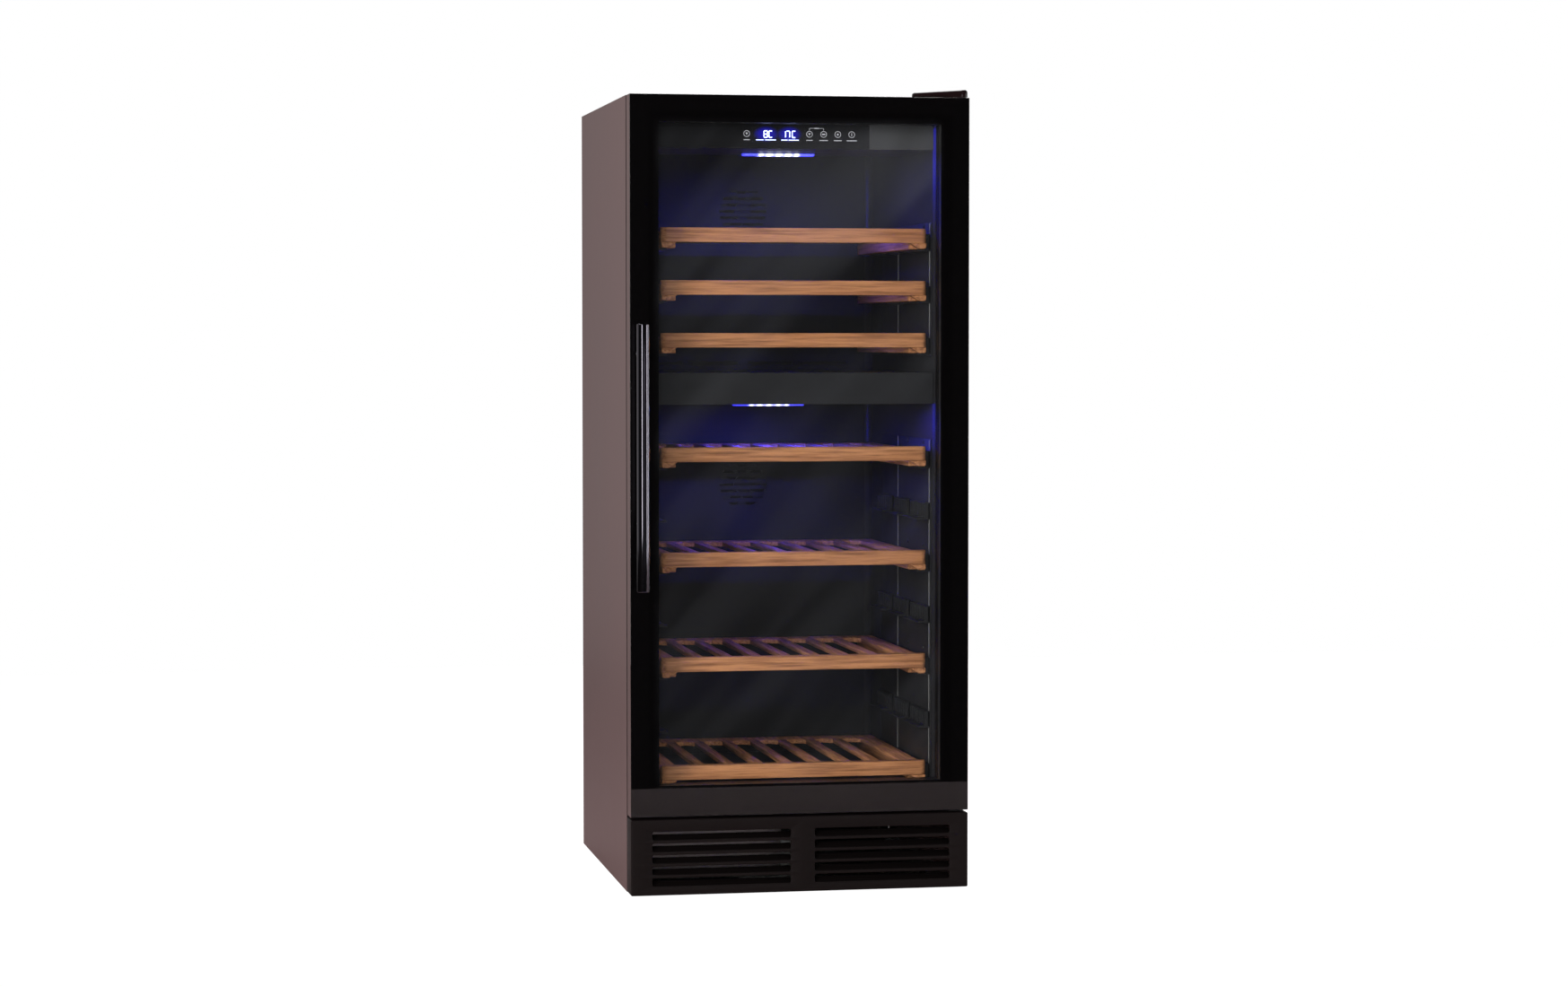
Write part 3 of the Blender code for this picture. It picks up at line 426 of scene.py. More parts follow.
def lit_lens():
    """Opal lens over a row of blue-white LEDs: white over the LEDs, deep blue towards its ends."""
    made, tree, shader, place = start_material("lit_lens", "#C8D4FF", 0.35)
    axes = add(tree, "SeparateXYZ", {"Vector": place})
    along = add(tree, "Math", {0: axes.outputs["X"]}, operation="ABSOLUTE")
    middle = fade(tree, (along, 30 * MM, 42 * MM, 1.0, 0.0))
    turns = add(tree, "Math", {0: axes.outputs["X"], 1: 2 * math.pi / (17 * MM)}, operation="MULTIPLY")
    leds = add(tree, "Math", {0: turns}, operation="COSINE")
    bright = add(tree, "MapRange", {"Value": leds, "From Min": -1.0, "To Min": 0.30, "To Max": 1.0})
    core = add(tree, "Math", {0: middle, 1: bright}, operation="MULTIPLY")
    colour = add(tree, "Mix", {0: core, 6: linear(LAMP_BLUE), 7: linear("#E6E9FF")}, data_type="RGBA")
    shine(tree, shader, LAMP_BLUE, add(tree, "MapRange", {"Value": core, "To Min": 1.5, "To Max": 5.0}))
    tree.links.new(colour.outputs[2], shader.inputs["Emission Color"])
    return made


def display_front():
    """Gloss black display front: blue light from the readouts spreads in the plastic round them."""
    made, tree, shader, place = start_material("display_front", "#121214", 0.14)
    glows = []
    for x in (-51 * MM, -10 * MM):
        moved = add(tree, "VectorMath", {0: place, 1: (x, 0.0, DIGIT_HEIGHT)}, operation="SUBTRACT")
        sized = add(tree, "VectorMath", {0: moved, 1: (1 / (24 * MM), 0.0, 1 / (15 * MM))},
                    operation="MULTIPLY")
        far = add(tree, "VectorMath", {0: sized}, operation="LENGTH")
        glows.append(fade(tree, (far.outputs["Value"], 0.35, 1.0, 0.42, 0.0)))
    shine(tree, shader, "#1408FF", add(tree, "Math", {0: glows[0], 1: glows[1]}, operation="MAXIMUM"))
    waves = add(tree, "TexNoise", {"Vector": place, "Scale": 1 / (30 * MM), "Detail": 1.0})
    gloss = add(tree, "MapRange", {"Value": waves, "To Min": 0.10, "To Max": 0.20})
    axes = add(tree, "SeparateXYZ", {"Vector": place})
    satin = add(tree, "Math", {0: axes.outputs["X"], 1: END_BLOCK_X}, operation="GREATER_THAN")
    lay(tree, shader, satin, ("#121214", "#3C3C3F"))
    rough = add(tree, "Mix", {0: satin, 2: gloss, 3: 0.40}, data_type="FLOAT")
    tree.links.new(rough.outputs[0], shader.inputs["Roughness"])
    return made


def lit_marks(name, colour, strength):
    """Light coming through the display's clear windows, a little uneven from LED to LED."""
    made, tree, shader, place = start_material(name, colour, 0.4)
    uneven = add(tree, "TexNoise", {"Vector": place, "Scale": 1 / (6 * MM), "Detail": 1.0})
    shine(tree, shader, colour, add(tree, "MapRange", {"Value": uneven, "To Min": strength * 0.8,
                                                       "To Max": strength * 1.2}))
    return made


def solder_mask_board(top):
    """Epoxy circuit board: green solder mask over copper tracks, with black parts standing on it."""
    made, tree, shader, place = start_material("solder_mask_board", "#0F5A34", 0.35)
    tracks = add(tree, "TexBrick", {"Vector": place, "Scale": 1 / (18 * MM), "Color1": linear("#0D4F2D"),
                                    "Color2": linear("#106238"), "Mortar": linear("#2E8B57"),
                                    "Mortar Size": 0.03})
    axes = add(tree, "SeparateXYZ", {"Vector": place})
    above = add(tree, "Math", {0: axes.outputs["Z"], 1: top}, operation="GREATER_THAN")
    lay(tree, shader, above, (tracks.outputs["Color"], "#17171A"))
    return made


def polyurethane_foam():
    """Blown polyurethane foam: cream, matt, with cells about a millimetre across."""
    made, tree, shader, place = start_material("polyurethane_foam", "#E3D8A8", 0.92)
    cells = add(tree, "TexVoronoi", {"Vector": place, "Scale": 1 / (1.5 * MM)})
    lay(tree, shader, cells, ("#CDBF86", "#EAE0B4"), relief=(0.6, 0.6 * MM))
    return made


DIGIT_HEIGHT = 1.3195       # middle of the display's digits
END_BLOCK_X = 0.132         # the display front's right end is a satin block from here

steel = powder_coated_steel()
galvanised = galvanised_steel()
# Zinc-plated pressed steel is bright and faintly bluish. Black chrome on the handle is a dark mirror with a
# trace of polishing lines. Rolled aluminium is pale and satin, with its lines lengthwise.
zinc = drawn_metal("zinc_plated_steel", "#C4C6C8", 0.28, (40 * MM, 0.6 * MM, 0.6 * MM),
                   ("#B4B7BC", "#D3D2CC"), (0.20, 0.40))
chrome = drawn_metal("black_chrome", "#77747C", 0.09, (30 * MM, 30 * MM, 0.5 * MM),
                     ("#6E6B74", "#807D85"), (0.06, 0.13))
aluminium = drawn_metal("rolled_aluminium", "#D2D4D6", 0.35, (0.8 * MM, 0.8 * MM, 60 * MM),
                        gloss=(0.26, 0.46))
enamelled = black_enamelled_steel()
moulded = textured_abs("moulded_abs", "#120E0E", 0.36, 0.9 * MM, 0.25)
grey_plastic = textured_abs("grey_polypropylene", "#88898B", 0.50, 1.2 * MM)
housing_plastic = textured_abs("ceiling_box_abs", "#1D1D20", 0.40, 0.9 * MM)
hinge_gloss = gloss_abs("gloss_black_abs", "#170D0E")
liner = vacuum_formed_liner()
# Painted highlight: the racks' upright beads are pale grey, standing in for light caught along their edges.
bead_highlight_plastic = textured_abs("pale_bead_painted_highlight", "#77777A", 0.30, 2.0 * MM)
cover_plastic = textured_abs("cover_polystyrene", "#262629", 0.55, 1.4 * MM, 0.3)
# Painted shade: the plinth's blades get a darker, duller copy of the moulded ABS, for the shade inside the
# slots.
blade_plastic_painted_shade = textured_abs("unpolished_abs_painted_shade", "#080606", 0.62, 1.1 * MM, 0.06)
rack_plastic = textured_abs("rack_polypropylene", "#232326", 0.46, 1.1 * MM)
frame_plastic = door_frame_plastic()
glass = float_glass("float_glass", "#FBFCFB")
enamel = fired_enamel()
# The spacer is drawn aluminium, anodised black-grey. The seal is matt PVC with a dusty bloom in slow patches.
spacer_bar = mottled("anodised_spacer", "#3E3E40", 0.45, 3 * MM, 3.0, ("#38383A", "#454547"), metallic=0.6)
rubber = mottled("seal_rubber", "#1D1D1D", 0.62, 35 * MM, 4.0, ("#161616", "#262525"), (0.52, 0.75))
rail_beech = oiled_beech("beech_rails", (90 * MM, 5 * MM, 4 * MM))
slat_beech = oiled_beech("beech_slats", (5 * MM, 90 * MM, 4 * MM))
lens = lit_lens()
display = display_front()
digits_light = lit_marks("readout_light", "#B9C4FF", 3.2)
marks_light = lit_marks("key_symbols", "#9C9CA4", 0.95)
board = solder_mask_board(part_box("control_board")[0].z + 1.7 * MM)
foam = polyurethane_foam()


# ---- cabinet ------------------------------------------------------------------------------------
# finish, width of the rounded edges in millimetres, and the CAD nodes that get them
DRESSED = (
    (steel, 0.35, ("side_panel_left", "side_panel_right", "top_panel")),
    (steel, 0.0, ("front_frame",)),
    (galvanised, 0.25, ("rear_panel",)),
    (galvanised, 0.3, ("base_pan",)),
    (foam, 0.0, ("insulation_foam",)),
    (cover_plastic, 0.4, ("upper_fan_cover", "lower_fan_cover")),
    (moulded, 0.3, ("upper_fan", "lower_fan", "condenser_fan")),
    (aluminium, 0.0, ("upper_evaporator", "lower_evaporator", "condenser")),
    (housing_plastic, 1.0, ("control_housing",)),
    (display, 0.6, ("control_fascia",)),
    (board, 0.0, ("control_board",)),
    (enamelled, 0.0, ("compressor",)),
    (moulded, 0.5, ("fan_shroud",)),
    (grey_plastic, 0.6, ("drip_tray",)),
    (moulded, 0.6, ("power_inlet",)),
    (zinc, 0.4, ("top_hinge_bracket",)),
    (enamelled, 0.4, ("bottom_hinge_bracket",)),
    (frame_plastic, 0.4, ("door_frame",)),
    (glass, 0.5, ("outer_glass",)),
)


def dress_nodes():
    """The CAD nodes that keep their shape. Those of more or fewer segments than two are dressed by name."""
    for finish, edge, names in DRESSED:
        for name in names:
            dress(name, finish, edge * MM)
    dress("zone_divider", liner, 1.5 * MM, 3)
    dress("inner_glass", glass, 0.3 * MM, 1)
    dress("glazing_spacer", spacer_bar, 0.3 * MM, 1)


def make_liner():
    """A box open at the front: rings of one outline run forward inside its walls, and back outside them.

    At angle t through a rear corner the ring is inset by corner(1 - sin t), corner(1 - cos t) forward."""
    corner = 14 * MM
    lip = 1 * MM
    inner = rect(-WALL, FLOOR, WALL, CEILING)
    turn = np.linspace(0, math.pi / 2, 6)
    rings = [(corner * (1 - math.sin(t)), BACK - corner * (1 - math.cos(t))) for t in turn]
    rings += [(0.0, LINER_LOW.y + lip), (-0.4 * lip, LINER_LOW.y)]
    rings += [(-LINER_WALL, LINER_LOW.y), (-LINER_WALL, BACK - corner)]
    rings += [(corner * (1 - math.sin(t)) - LINER_WALL, LINER_HIGH.y - corner * (1 - math.cos(t)))
              for t in turn[::-1]]
    return loft([(outline(inner, corner, inset, 5), y) for inset, y in rings], "XZ")


def corner_cove(side, low, high):
    """A hollow fillet where a rear cover meets a side wall: a quarter circle seen from inside."""
    radius = 13 * MM
    angle = np.linspace(0, math.pi / 2, 9)
    x = side * (WALL - radius + radius * np.cos(angle))
    y = COVER_FRONT - radius + radius * np.sin(angle)
    shape = np.concatenate([np.stack([x, y], axis=1), [(side * WALL, COVER_FRONT)]])
    return loft([(shape, low), (shape, high)])


def make_cavity():
    surfaces = [make_liner()]
    for side in (-1, 1):
        surfaces.append(corner_cove(side, FLOOR + 2 * MM, DIVIDER_LOW.z))
        surfaces.append(corner_cove(side, DIVIDER_HIGH.z, CEILING - 2 * MM))
    piece("liner_shell", surfaces, liner, "cabinet", ["inner_liner"])


SUPPORT_RUNS = ((4 * MM, 124 * MM), (159 * MM, 261 * MM), (301 * MM, 401 * MM))   # behind the rack's front
SUPPORT_RIBS = 6
RIB = 1.8 * MM
SEAT_DROP = 35.5 * MM       # a shelf's runner rests this far below its place
CHEEK_DROP = 9 * MM
CHEEK_GAP = 1.5 * MM        # from a shelf's side to the ribs
WEB_GAP = 6.5 * MM          # from a shelf's side to the wall between the ribs
LIP_REACH = 12.5 * MM       # the lip reaches this far under the shelf
BEAD_PLACES = (8 * MM, 262 * MM)
BEAD = 2.0 * MM
SCREW_PLACES = (54 * MM, 178 * MM)
STRIP = 2.3 * MM            # the rack's moulded strip stands this far off the wall


def shelf_support(side, front, back, place):
    """One ribbed support, in boxes: a wall with upright ribs, a top flange and the lip under a runner."""
    wall = side * (WALL - 1 * MM)
    face = side * (SHELF_HALF + CHEEK_GAP)
    web = side * (SHELF_HALF + WEB_GAP)
    lip = side * (SHELF_HALF - LIP_REACH)
    seat = place - SEAT_DROP
    top = place - CHEEK_DROP

    def bar(x_face, y0, y1, z0, z1, edge):
        x0, x1 = sorted((wall, x_face))
        return slab((x0, y0, z0), (x1, y1, z1), edge, "XY", 2, 1)

    parts = [bar(web, front, back, seat - 2 * MM, top, 0.6 * MM)]
    parts.append(bar(face, front, back, top - 2.2 * MM, top, 0.7 * MM))
    parts.append(bar(lip, front + 1 * MM, back - 1 * MM, seat - 3.5 * MM, seat, 1.0 * MM))
    for y in np.linspace(front, back - RIB, SUPPORT_RIBS + 1):
        parts.append(bar(face, y, y + RIB, seat - 1 * MM, top - 1 * MM, 0.5 * MM))
    return parts


def pan_screw(centre, side, radius=3.4 * MM):
    """A pan-head screw on a side wall: a low dome with a recess, turned about X, in parts of its radius."""
    profile = [(0.0, 0.3), (0.32, 0.35), (0.36, 0.62), (0.62, 0.56), (0.86, 0.36), (1.0, 0.0), (1.0, -0.2),
               (0.0, -0.2)]
    shape = [(out * radius, -side * height * radius) for out, height in profile]
    return turned(shape, centre, "YZ", 16)


def make_rack(name, side, places):
    """A moulded wall strip with two upright beads, three supports at each place and its screws."""
    low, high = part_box(name)
    x0, x1 = sorted((side * (WALL - STRIP), side * (WALL - 0.3 * MM)))
    surfaces = [slab((x0, low.y, low.z), (x1, high.y, high.z), 0.8 * MM, "YZ")]
    # The beads are their own piece in the pale finish, a painted highlight on each rack.
    x0, x1 = sorted((side * (WALL - 3.4 * MM), side * (WALL - 1 * MM)))
    beads = [slab((x0, low.y + start, low.z + 3 * MM), (x1, low.y + start + BEAD, high.z - 2 * MM), 0.6 * MM)
             for start in BEAD_PLACES]
    piece(name + "_beads", beads, bead_highlight_plastic, "cabinet")
    for place in places:
        for front, back in SUPPORT_RUNS:
            surfaces += shelf_support(side, low.y + front, low.y + back, place)
    for place in places[:-1:2]:
        for distance in SCREW_PLACES:
            surfaces.append(pan_screw((side * (WALL - STRIP), low.y + distance, place + 5 * MM), side))
    piece(name + "_moulding", surfaces, rack_plastic, "cabinet", [name])


def make_lamps():
    """Two opal lenses, plates with rounded edges, each in a bezel, the flat ring between two outlines."""
    corner, rim = 5 * MM, 3 * MM
    for name in ("upper_lamp", "lower_lamp"):
        low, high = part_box(name)
        shape = rect(low.x, low.y, high.x, high.y)
        lens_pad = pad(shape, low.z, high.z, 1.8 * MM, corner, "XY", 3, 5)
        piece(name + "_lens", [lens_pad], lens, "cabinet", [name])
        around = rect(low.x - rim, low.y - rim, high.x + rim, high.y + rim)
        bezel = hoop(outline(around, corner + rim, 0.0, 5), outline(shape, corner, -0.2 * MM, 5),
                     high.z - 1.6 * MM, high.z, "XY")
        piece(name + "_bezel", [bezel], housing_plastic, "cabinet")


# ---- display ------------------------------------------------------------------------------------
FASCIA_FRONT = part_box("control_fascia")[0].y
MARK_FRONT = FASCIA_FRONT - 0.25 * MM
MARK_BACK = FASCIA_FRONT + 0.30 * MM
SEGMENTS = {"8": "abcdefg", "1": "bc", "7": "abc", "C": "adef"}
READOUTS = (("8", -51.7), ("C", -43.0), ("1", -19.6), ("7", -12.3), ("C", -2.0))     # millimetres along X
KEYS = (-85.1, 25.6, 50.6, 75.8, 100.5)
UNDERLINES = ((-68.8, -55.2), (-52.7, -33.7), (-24.2, -13.1), (-11.5, 6.7))     # below the readouts
# each of the last three keys' symbols: half its width, its reach down and up, and its rounded edge
KEY_BARS = ((2.8, 1.2, 1.2, 0.8), (1.5, 1.8, 1.4, 0.8), (0.6, 2.6, 2.6, 0.5))
LABEL_HALVES = (5.5, 5.5, 7.5, 7.0, 9.0)        # half the length of the bar below each key
LABEL_Z = DIGIT_HEIGHT - 10.0 * MM
LABEL_TALL = 1.4 * MM
BEAM_RISE = 10.8 * MM       # the bracket over the second and third keys is this far above the digits
BEAM = 0.35 * MM


def mark(x0, x1, z0, z1, edge=0.25 * MM):
    """A small flat mark on the display front, with its corners rounded by the edge."""
    return pad(rect(x0, z0, x1, z1), MARK_FRONT, MARK_BACK, 0.1 * MM, edge, "XZ", 1, 2)


def label_bar(x0, x1):
    """A plain bar where a small label would be."""
    return mark(x0, x1, LABEL_Z - LABEL_TALL / 2, LABEL_Z + LABEL_TALL / 2)


def digit(character, x):
    """A seven-segment character: bars on three levels and two sides, those it needs."""
    wide, tall, stroke = 3.0 * MM, 5.6 * MM, 0.95 * MM
    middle = DIGIT_HEIGHT
    levels = {"a": middle + tall, "g": middle, "d": middle - tall}
    uprights = {"f": (-wide, 1), "b": (wide, 1), "e": (-wide, -1), "c": (wide, -1)}
    bars = []
    for name in SEGMENTS[character]:
        if name in levels:
            inner = wide - stroke / 3
            bars.append(mark(x - inner, x + inner, levels[name] - stroke, levels[name] + stroke))
        else:
            across, up = uprights[name]
            ends = sorted((middle + up * stroke / 3, middle + up * (tall - stroke / 3)))
            bars.append(mark(x + across - stroke, x + across + stroke, ends[0], ends[1]))
    return bars


def key_symbol(x, number):
    """A ring with a simple generic shape in it, over a plain bar where a label would be."""
    z = DIGIT_HEIGHT + 0.6 * MM
    parts = [hoop(circle(x, z, 5.6 * MM), circle(x, z, 4.7 * MM), MARK_FRONT, MARK_BACK)]
    down = np.array([(x, z - 2.4 * MM), (x + 2.2 * MM, z + 1.8 * MM), (x - 2.2 * MM, z + 1.8 * MM)])
    if number < 2:
        inside = pad(down, MARK_FRONT, MARK_BACK, 0.1 * MM, 0.3 * MM, "XZ", 1, 2)
    else:
        half, below, above, edge = KEY_BARS[number - 2]
        inside = mark(x - half * MM, x + half * MM, z - below * MM, z + above * MM, edge * MM)
    half = LABEL_HALVES[number] * MM
    return parts + [inside, label_bar(x - half, x + half)]


def make_display():
    """The readouts, their underlines, the key symbols and the bracket that joins two of them."""
    lit = []
    for character, x in READOUTS:
        lit += digit(character, x * MM)
    lit += [label_bar(x0 * MM, x1 * MM) for x0, x1 in UNDERLINES]
    piece("display_readouts", lit, digits_light, "cabinet")
    printed = []
    for number, x in enumerate(KEYS):
        printed += key_symbol(x * MM, number)
    left, right = KEYS[1] * MM, KEYS[2] * MM
    beam = DIGIT_HEIGHT + BEAM_RISE
    printed.append(mark(left, right, beam - BEAM, beam + BEAM, 0.2 * MM))
    for x in (left, right):
        printed.append(mark(x - BEAM, x + BEAM, beam - 10 * BEAM, beam, 0.2 * MM))
    middle = (left + right) / 2
    printed.append(mark(middle - 4 * MM, middle + 4 * MM, beam - 0.9 * MM, beam + 0.9 * MM))
    piece("display_symbols", printed, marks_light, "cabinet")


# ---- door ---------------------------------------------------------------------------------------
WINDOW = rect(SPACER_LOW.x + PANE_EDGE, SPACER_LOW.z + PANE_EDGE,
              SPACER_HIGH.x - PANE_EDGE, SPACER_HIGH.z - PANE_EDGE)
DOOR_FACE = rect(DOOR_LOW.x, DOOR_LOW.z, DOOR_HIGH.x, DOOR_HIGH.z)


def make_gasket():
    """A bellows seal carried round the door: each point of its section is an inset and a depth."""
    low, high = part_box("door_gasket")
    depth = high.y - low.y
    edge = DOOR_HIGH.x - high.x
    section = [(0.0, 0.0), (18.0, 0.0), (18.0, 0.20), (14.5, 0.32), (14.0, 0.42), (17.0, 0.55), (17.5, 0.75),
               (16.6, 0.95), (15.0, 1.0), (3.0, 1.0), (1.4, 0.95), (0.5, 0.75), (1.0, 0.55), (4.0, 0.42),
               (3.5, 0.32), (0.0, 0.20)]
    levels = [(outline(DOOR_FACE, 26 * MM, edge + across * MM, 6), low.y + deep * depth)
              for across, deep in section]
    piece("door_seal", [loft(levels, "XZ", ring=True)], rubber, "door", ["door_gasket"], 50.0)


def make_border():
    """The black border fired on the back of the outer pane: a flat ring between its edge and the window."""
    outer = outline(DOOR_FACE, 2 * MM, 0.4 * MM, 3)
    inner = outline(WINDOW, 1.0 * MM, 0.0, 3)
    band = hoop(outer, inner, GLASS_BACK + 0.04 * MM, GLASS_BACK + 0.20 * MM)
    piece("glass_border", [band], enamel, "door")


def make_handle():
    """A polished bar with eased ends on two posts that flare where they meet the glass, all profiles turned.

    At angle t through an eased end the radius is that of the bar less ease(1 - sin t)."""
    low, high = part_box("handle_bar")
    centre = (low + high) / 2
    radius = (high.x - low.x) / 2
    half = (high.z - low.z) / 2
    turn = np.linspace(0, math.pi / 2, 5)
    ease = 1.6 * MM
    bottom = [(radius - ease + ease * math.sin(t), -half + ease * (1 - math.cos(t))) for t in turn]
    profile = [(0.0, -half)] + bottom + [(out, -height) for out, height in bottom[::-1]] + [(0.0, half)]
    grip = turned(profile, centre, "XY", 96)
    piece("handle_grip", [grip], chrome, "door", ["handle_bar"], 30.0)
    for name in ("handle_post_lower", "handle_post_upper"):
        low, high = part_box(name)
        centre = (low + high) / 2
        radius = (high.z - low.z) / 2
        half = (high.y - low.y) / 2
        profile = [(0.0, -half), (radius, -half), (radius, half - 2 * MM),
                   (radius + 0.5 * MM, half - 0.9 * MM), (radius + 0.8 * MM, half), (0.0, half)]
        stem = turned(profile, centre, "XZ")
        piece(name + "_stem", [stem], chrome, "door", [name], 30.0)


def make_hinge_cover():
    """The upper hinge's moulded cover, open below: rings down its inside, up its outside and over its top.

    At angle t through the round of its top a ring is inset by edge(1 - cos t), and edge(1 - sin t) down."""
    low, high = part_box("hinge_cover")
    right, front, back, left = high.x, low.y, high.y, low.x
    corners = [(right, front), (right, back), (left, back), (left, back - 14 * MM), (right - 11 * MM, front)]
    edge, wall, radius = 5 * MM, 2 * MM, 6.5 * MM
    inner_edge = edge - wall
    turn = np.linspace(0, math.pi / 2, 6)
    rings = [(wall + inner_edge * (1 - math.cos(t)), high.z - wall - inner_edge * (1 - math.sin(t)))
             for t in turn[::-1]]
    rings += [(wall, low.z), (0.0, low.z)]
    rings += [(edge * (1 - math.cos(t)), high.z - edge * (1 - math.sin(t))) for t in turn]
    cap = loft([(outline(corners, radius, inset, 6), z) for inset, z in rings])
    piece("hinge_cap", [cap], hinge_gloss, "cabinet", ["hinge_cover"], 50.0)


# ---- plinth -------------------------------------------------------------------------------------
SLOT_ROWS = 5
SLOT_TOP = 116 * MM
SLOT_STEP = 20 * MM
SLOT_TALL = 14.5 * MM
SLOT_BANKS = ((-260.5 * MM, -17.5 * MM), (24.5 * MM, 264.5 * MM))
BLADE_REACH = 12 * MM       # a blade runs back this far behind the slot's lower edge, and up
BLADE_RISE = 9.5 * MM


def plinth_cell(cell, slot, front, back):
    """One slot's share of the plinth's front: a plate between its outline and a slot with eased edges."""
    outer = outline(cell, 0.05 * MM, 0.0, 6)
    hole = [(outline(slot, 3.2 * MM, inset, 6), y) for inset, y in
            ((0.0, back), (0.0, front + 0.9 * MM), (-0.25 * MM, front + 0.3 * MM), (-0.9 * MM, front))]
    return loft([(outer, front), (outer, back)] + hole, "XZ", ring=True)


def plinth_blade(left, right, bottom, front):
    """A sloped blade behind a slot: a four-sided section in Y and Z carried along X."""
    thick = 1.6 * MM
    back, top = front + BLADE_REACH, bottom + BLADE_RISE
    section = np.array([(front + 0.6 * MM, bottom - 0.8 * MM), (front + 1.6 * MM, bottom - thick),
                        (back, top - thick), (back, top)])
    return pad(section, left, right, 0.3 * MM, 0.4 * MM, "YZ", 1, 2)


def make_plinth():
    """The grille below the door: its rounded rim and returns, ten slots in two banks, and their blades."""
    low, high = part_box("plinth_grille")
    front, back = low.y, high.y
    wall, ease, rim = 3 * MM, 1.4 * MM, 5 * MM
    face = rect(low.x, low.z, high.x, high.z)
    turn = np.linspace(0, math.pi / 2, 4)
    levels = [(rim, front)] + [(ease * (1 - math.sin(t)), front + ease * (1 - math.cos(t))) for t in turn]
    levels += [(0.0, back), (wall, back), (wall, front + wall), (rim, front + wall)]
    surfaces = [loft([(outline(face, 2.5 * MM, inset, 6), y) for inset, y in levels], "XZ", ring=True)]
    blades = []
    between = (SLOT_BANKS[0][1] + SLOT_BANKS[1][0]) / 2
    sides = ((low.x + rim, between), (between, high.x - rim))
    bar_middle = SLOT_TOP + (SLOT_STEP - SLOT_TALL) / 2
    edges = [high.z - rim] + [bar_middle - step * SLOT_STEP for step in range(1, SLOT_ROWS)] + [low.z + rim]
    for (cell_left, cell_right), (left, right) in zip(sides, SLOT_BANKS):
        for row in range(SLOT_ROWS):
            top = SLOT_TOP - row * SLOT_STEP
            cell = rect(cell_left, edges[row + 1], cell_right, edges[row])
            slot = rect(left, top - SLOT_TALL, right, top)
            surfaces.append(plinth_cell(cell, slot, front, front + wall))
            blades.append(plinth_blade(left - 1 * MM, right + 1 * MM, top - SLOT_TALL, front))
    piece("plinth_moulding", surfaces, moulded, "cabinet", ["plinth_grille"])
    # The blades wear the darker copy of the moulding's finish, painted shade for the slots.
    piece("plinth_blades", blades, blade_plastic_painted_shade, "cabinet")


# ---- shelves ------------------------------------------------------------------------------------
RAIL_DEPTH, RAIL_HEIGHT, RAIL_CORNER = 20 * MM, 25 * MM, 11 * MM
DECK_TOP, DECK_LOW = -6 * MM, -14 * MM
SLAT_PITCH, SLAT, SLOTS, SLOT_POINT = 52.5 * MM, 17 * MM, 8, 14 * MM
RUNNER_WIDTH, RUNNER_DROP = 28 * MM, 35 * MM
FRONT_BOARD, REAR_BOARD = 22 * MM, 62 * MM


def shelf_rail(x, y, z):
    """The front rail: a plate with two large front corners. (x, y, z) is the top middle of its front."""
    corners = rect(x - SHELF_HALF, y, x + SHELF_HALF, y + RAIL_DEPTH)
    radii = np.array([RAIL_CORNER, RAIL_CORNER, 0.8 * MM, 0.8 * MM])
    return pad(corners, z - RAIL_HEIGHT, z, 1.3 * MM, radii, "XY", 3, 7)


def shelf_slats(y, z):
    """Front and rear boards, the slats between them, and the two small wedges that point each slot's end."""
    front = y + RAIL_DEPTH + 0.3 * MM
    slot_front = front + FRONT_BOARD
    slot_rear = SHELF_BACK - REAR_BOARD
    low, high = z + DECK_LOW, z + DECK_TOP
    half_slot = (SLAT_PITCH - SLAT) / 2
    outer = SHELF_HALF - 0.4 * MM
    boards = [slab((-outer, front, low), (outer, slot_front, high), 0.8 * MM)]
    boards.append(slab((-outer, slot_rear + SLOT_POINT, low), (outer, SHELF_BACK, high), 0.8 * MM))
    inset = 0.05 * MM
    for number in range(SLOTS + 1):
        middle = (number - SLOTS / 2) * SLAT_PITCH
        left = -outer if number == 0 else max(middle - SLAT / 2, -outer)
        right = outer if number == SLOTS else min(middle + SLAT / 2, outer)
        boards.append(slab((left, slot_front - 3 * MM, low + inset),
                           (right, slot_rear + SLOT_POINT + 3 * MM, high - inset), 1.0 * MM))
    for number in range(SLOTS):
        middle = (number - (SLOTS - 1) / 2) * SLAT_PITCH
        for side in (-1, 1):
            foot = middle + side * (half_slot + 2 * MM)
            tip = slot_rear + SLOT_POINT
            root = tip + 2 * MM
            wedge = np.array([(foot, slot_rear), (middle, tip), (middle, root), (foot, root)])
            corners = wedge if side < 0 else wedge[::-1]
            boards.append(pad(corners, low + 2 * inset, high - 2 * inset, 0.6 * MM, 0.6 * MM, "XY", 2, 2))
    return boards


def shelf_runners(y, z):
    """Side runners: a long bar under the deck, and a nose under the rail with a sloped, rounded heel."""
    surfaces = []
    under_rail = z - RAIL_HEIGHT - 0.3 * MM
    bottom = z - RUNNER_DROP
    for side in (-1, 1):
        outer = side * (SHELF_HALF - 0.6 * MM)
        inner = side * (SHELF_HALF - RUNNER_WIDTH)
        x0, x1 = sorted((outer, inner))
        surfaces.append(slab((x0, y + RAIL_DEPTH + 0.6 * MM, bottom),
                             (x1, SHELF_BACK - 0.6 * MM, z + DECK_LOW + 1 * MM), 1.5 * MM, "XZ", 3, 3))
        heel = side * (SHELF_HALF - 0.48 * RUNNER_WIDTH)
        corners = np.array([(inner, under_rail), (heel, bottom), (outer, bottom), (outer, under_rail)])
        radii = np.array([0.3, 9.0, 3.5, 0.3]) * MM
        if side < 0:
            corners = corners[::-1]
            radii = radii[::-1]
        surfaces.append(pad(corners, y + 1.5 * MM, y + RAIL_DEPTH + 3 * MM, 2.0 * MM, radii, "XZ", 3, 6))
    return surfaces


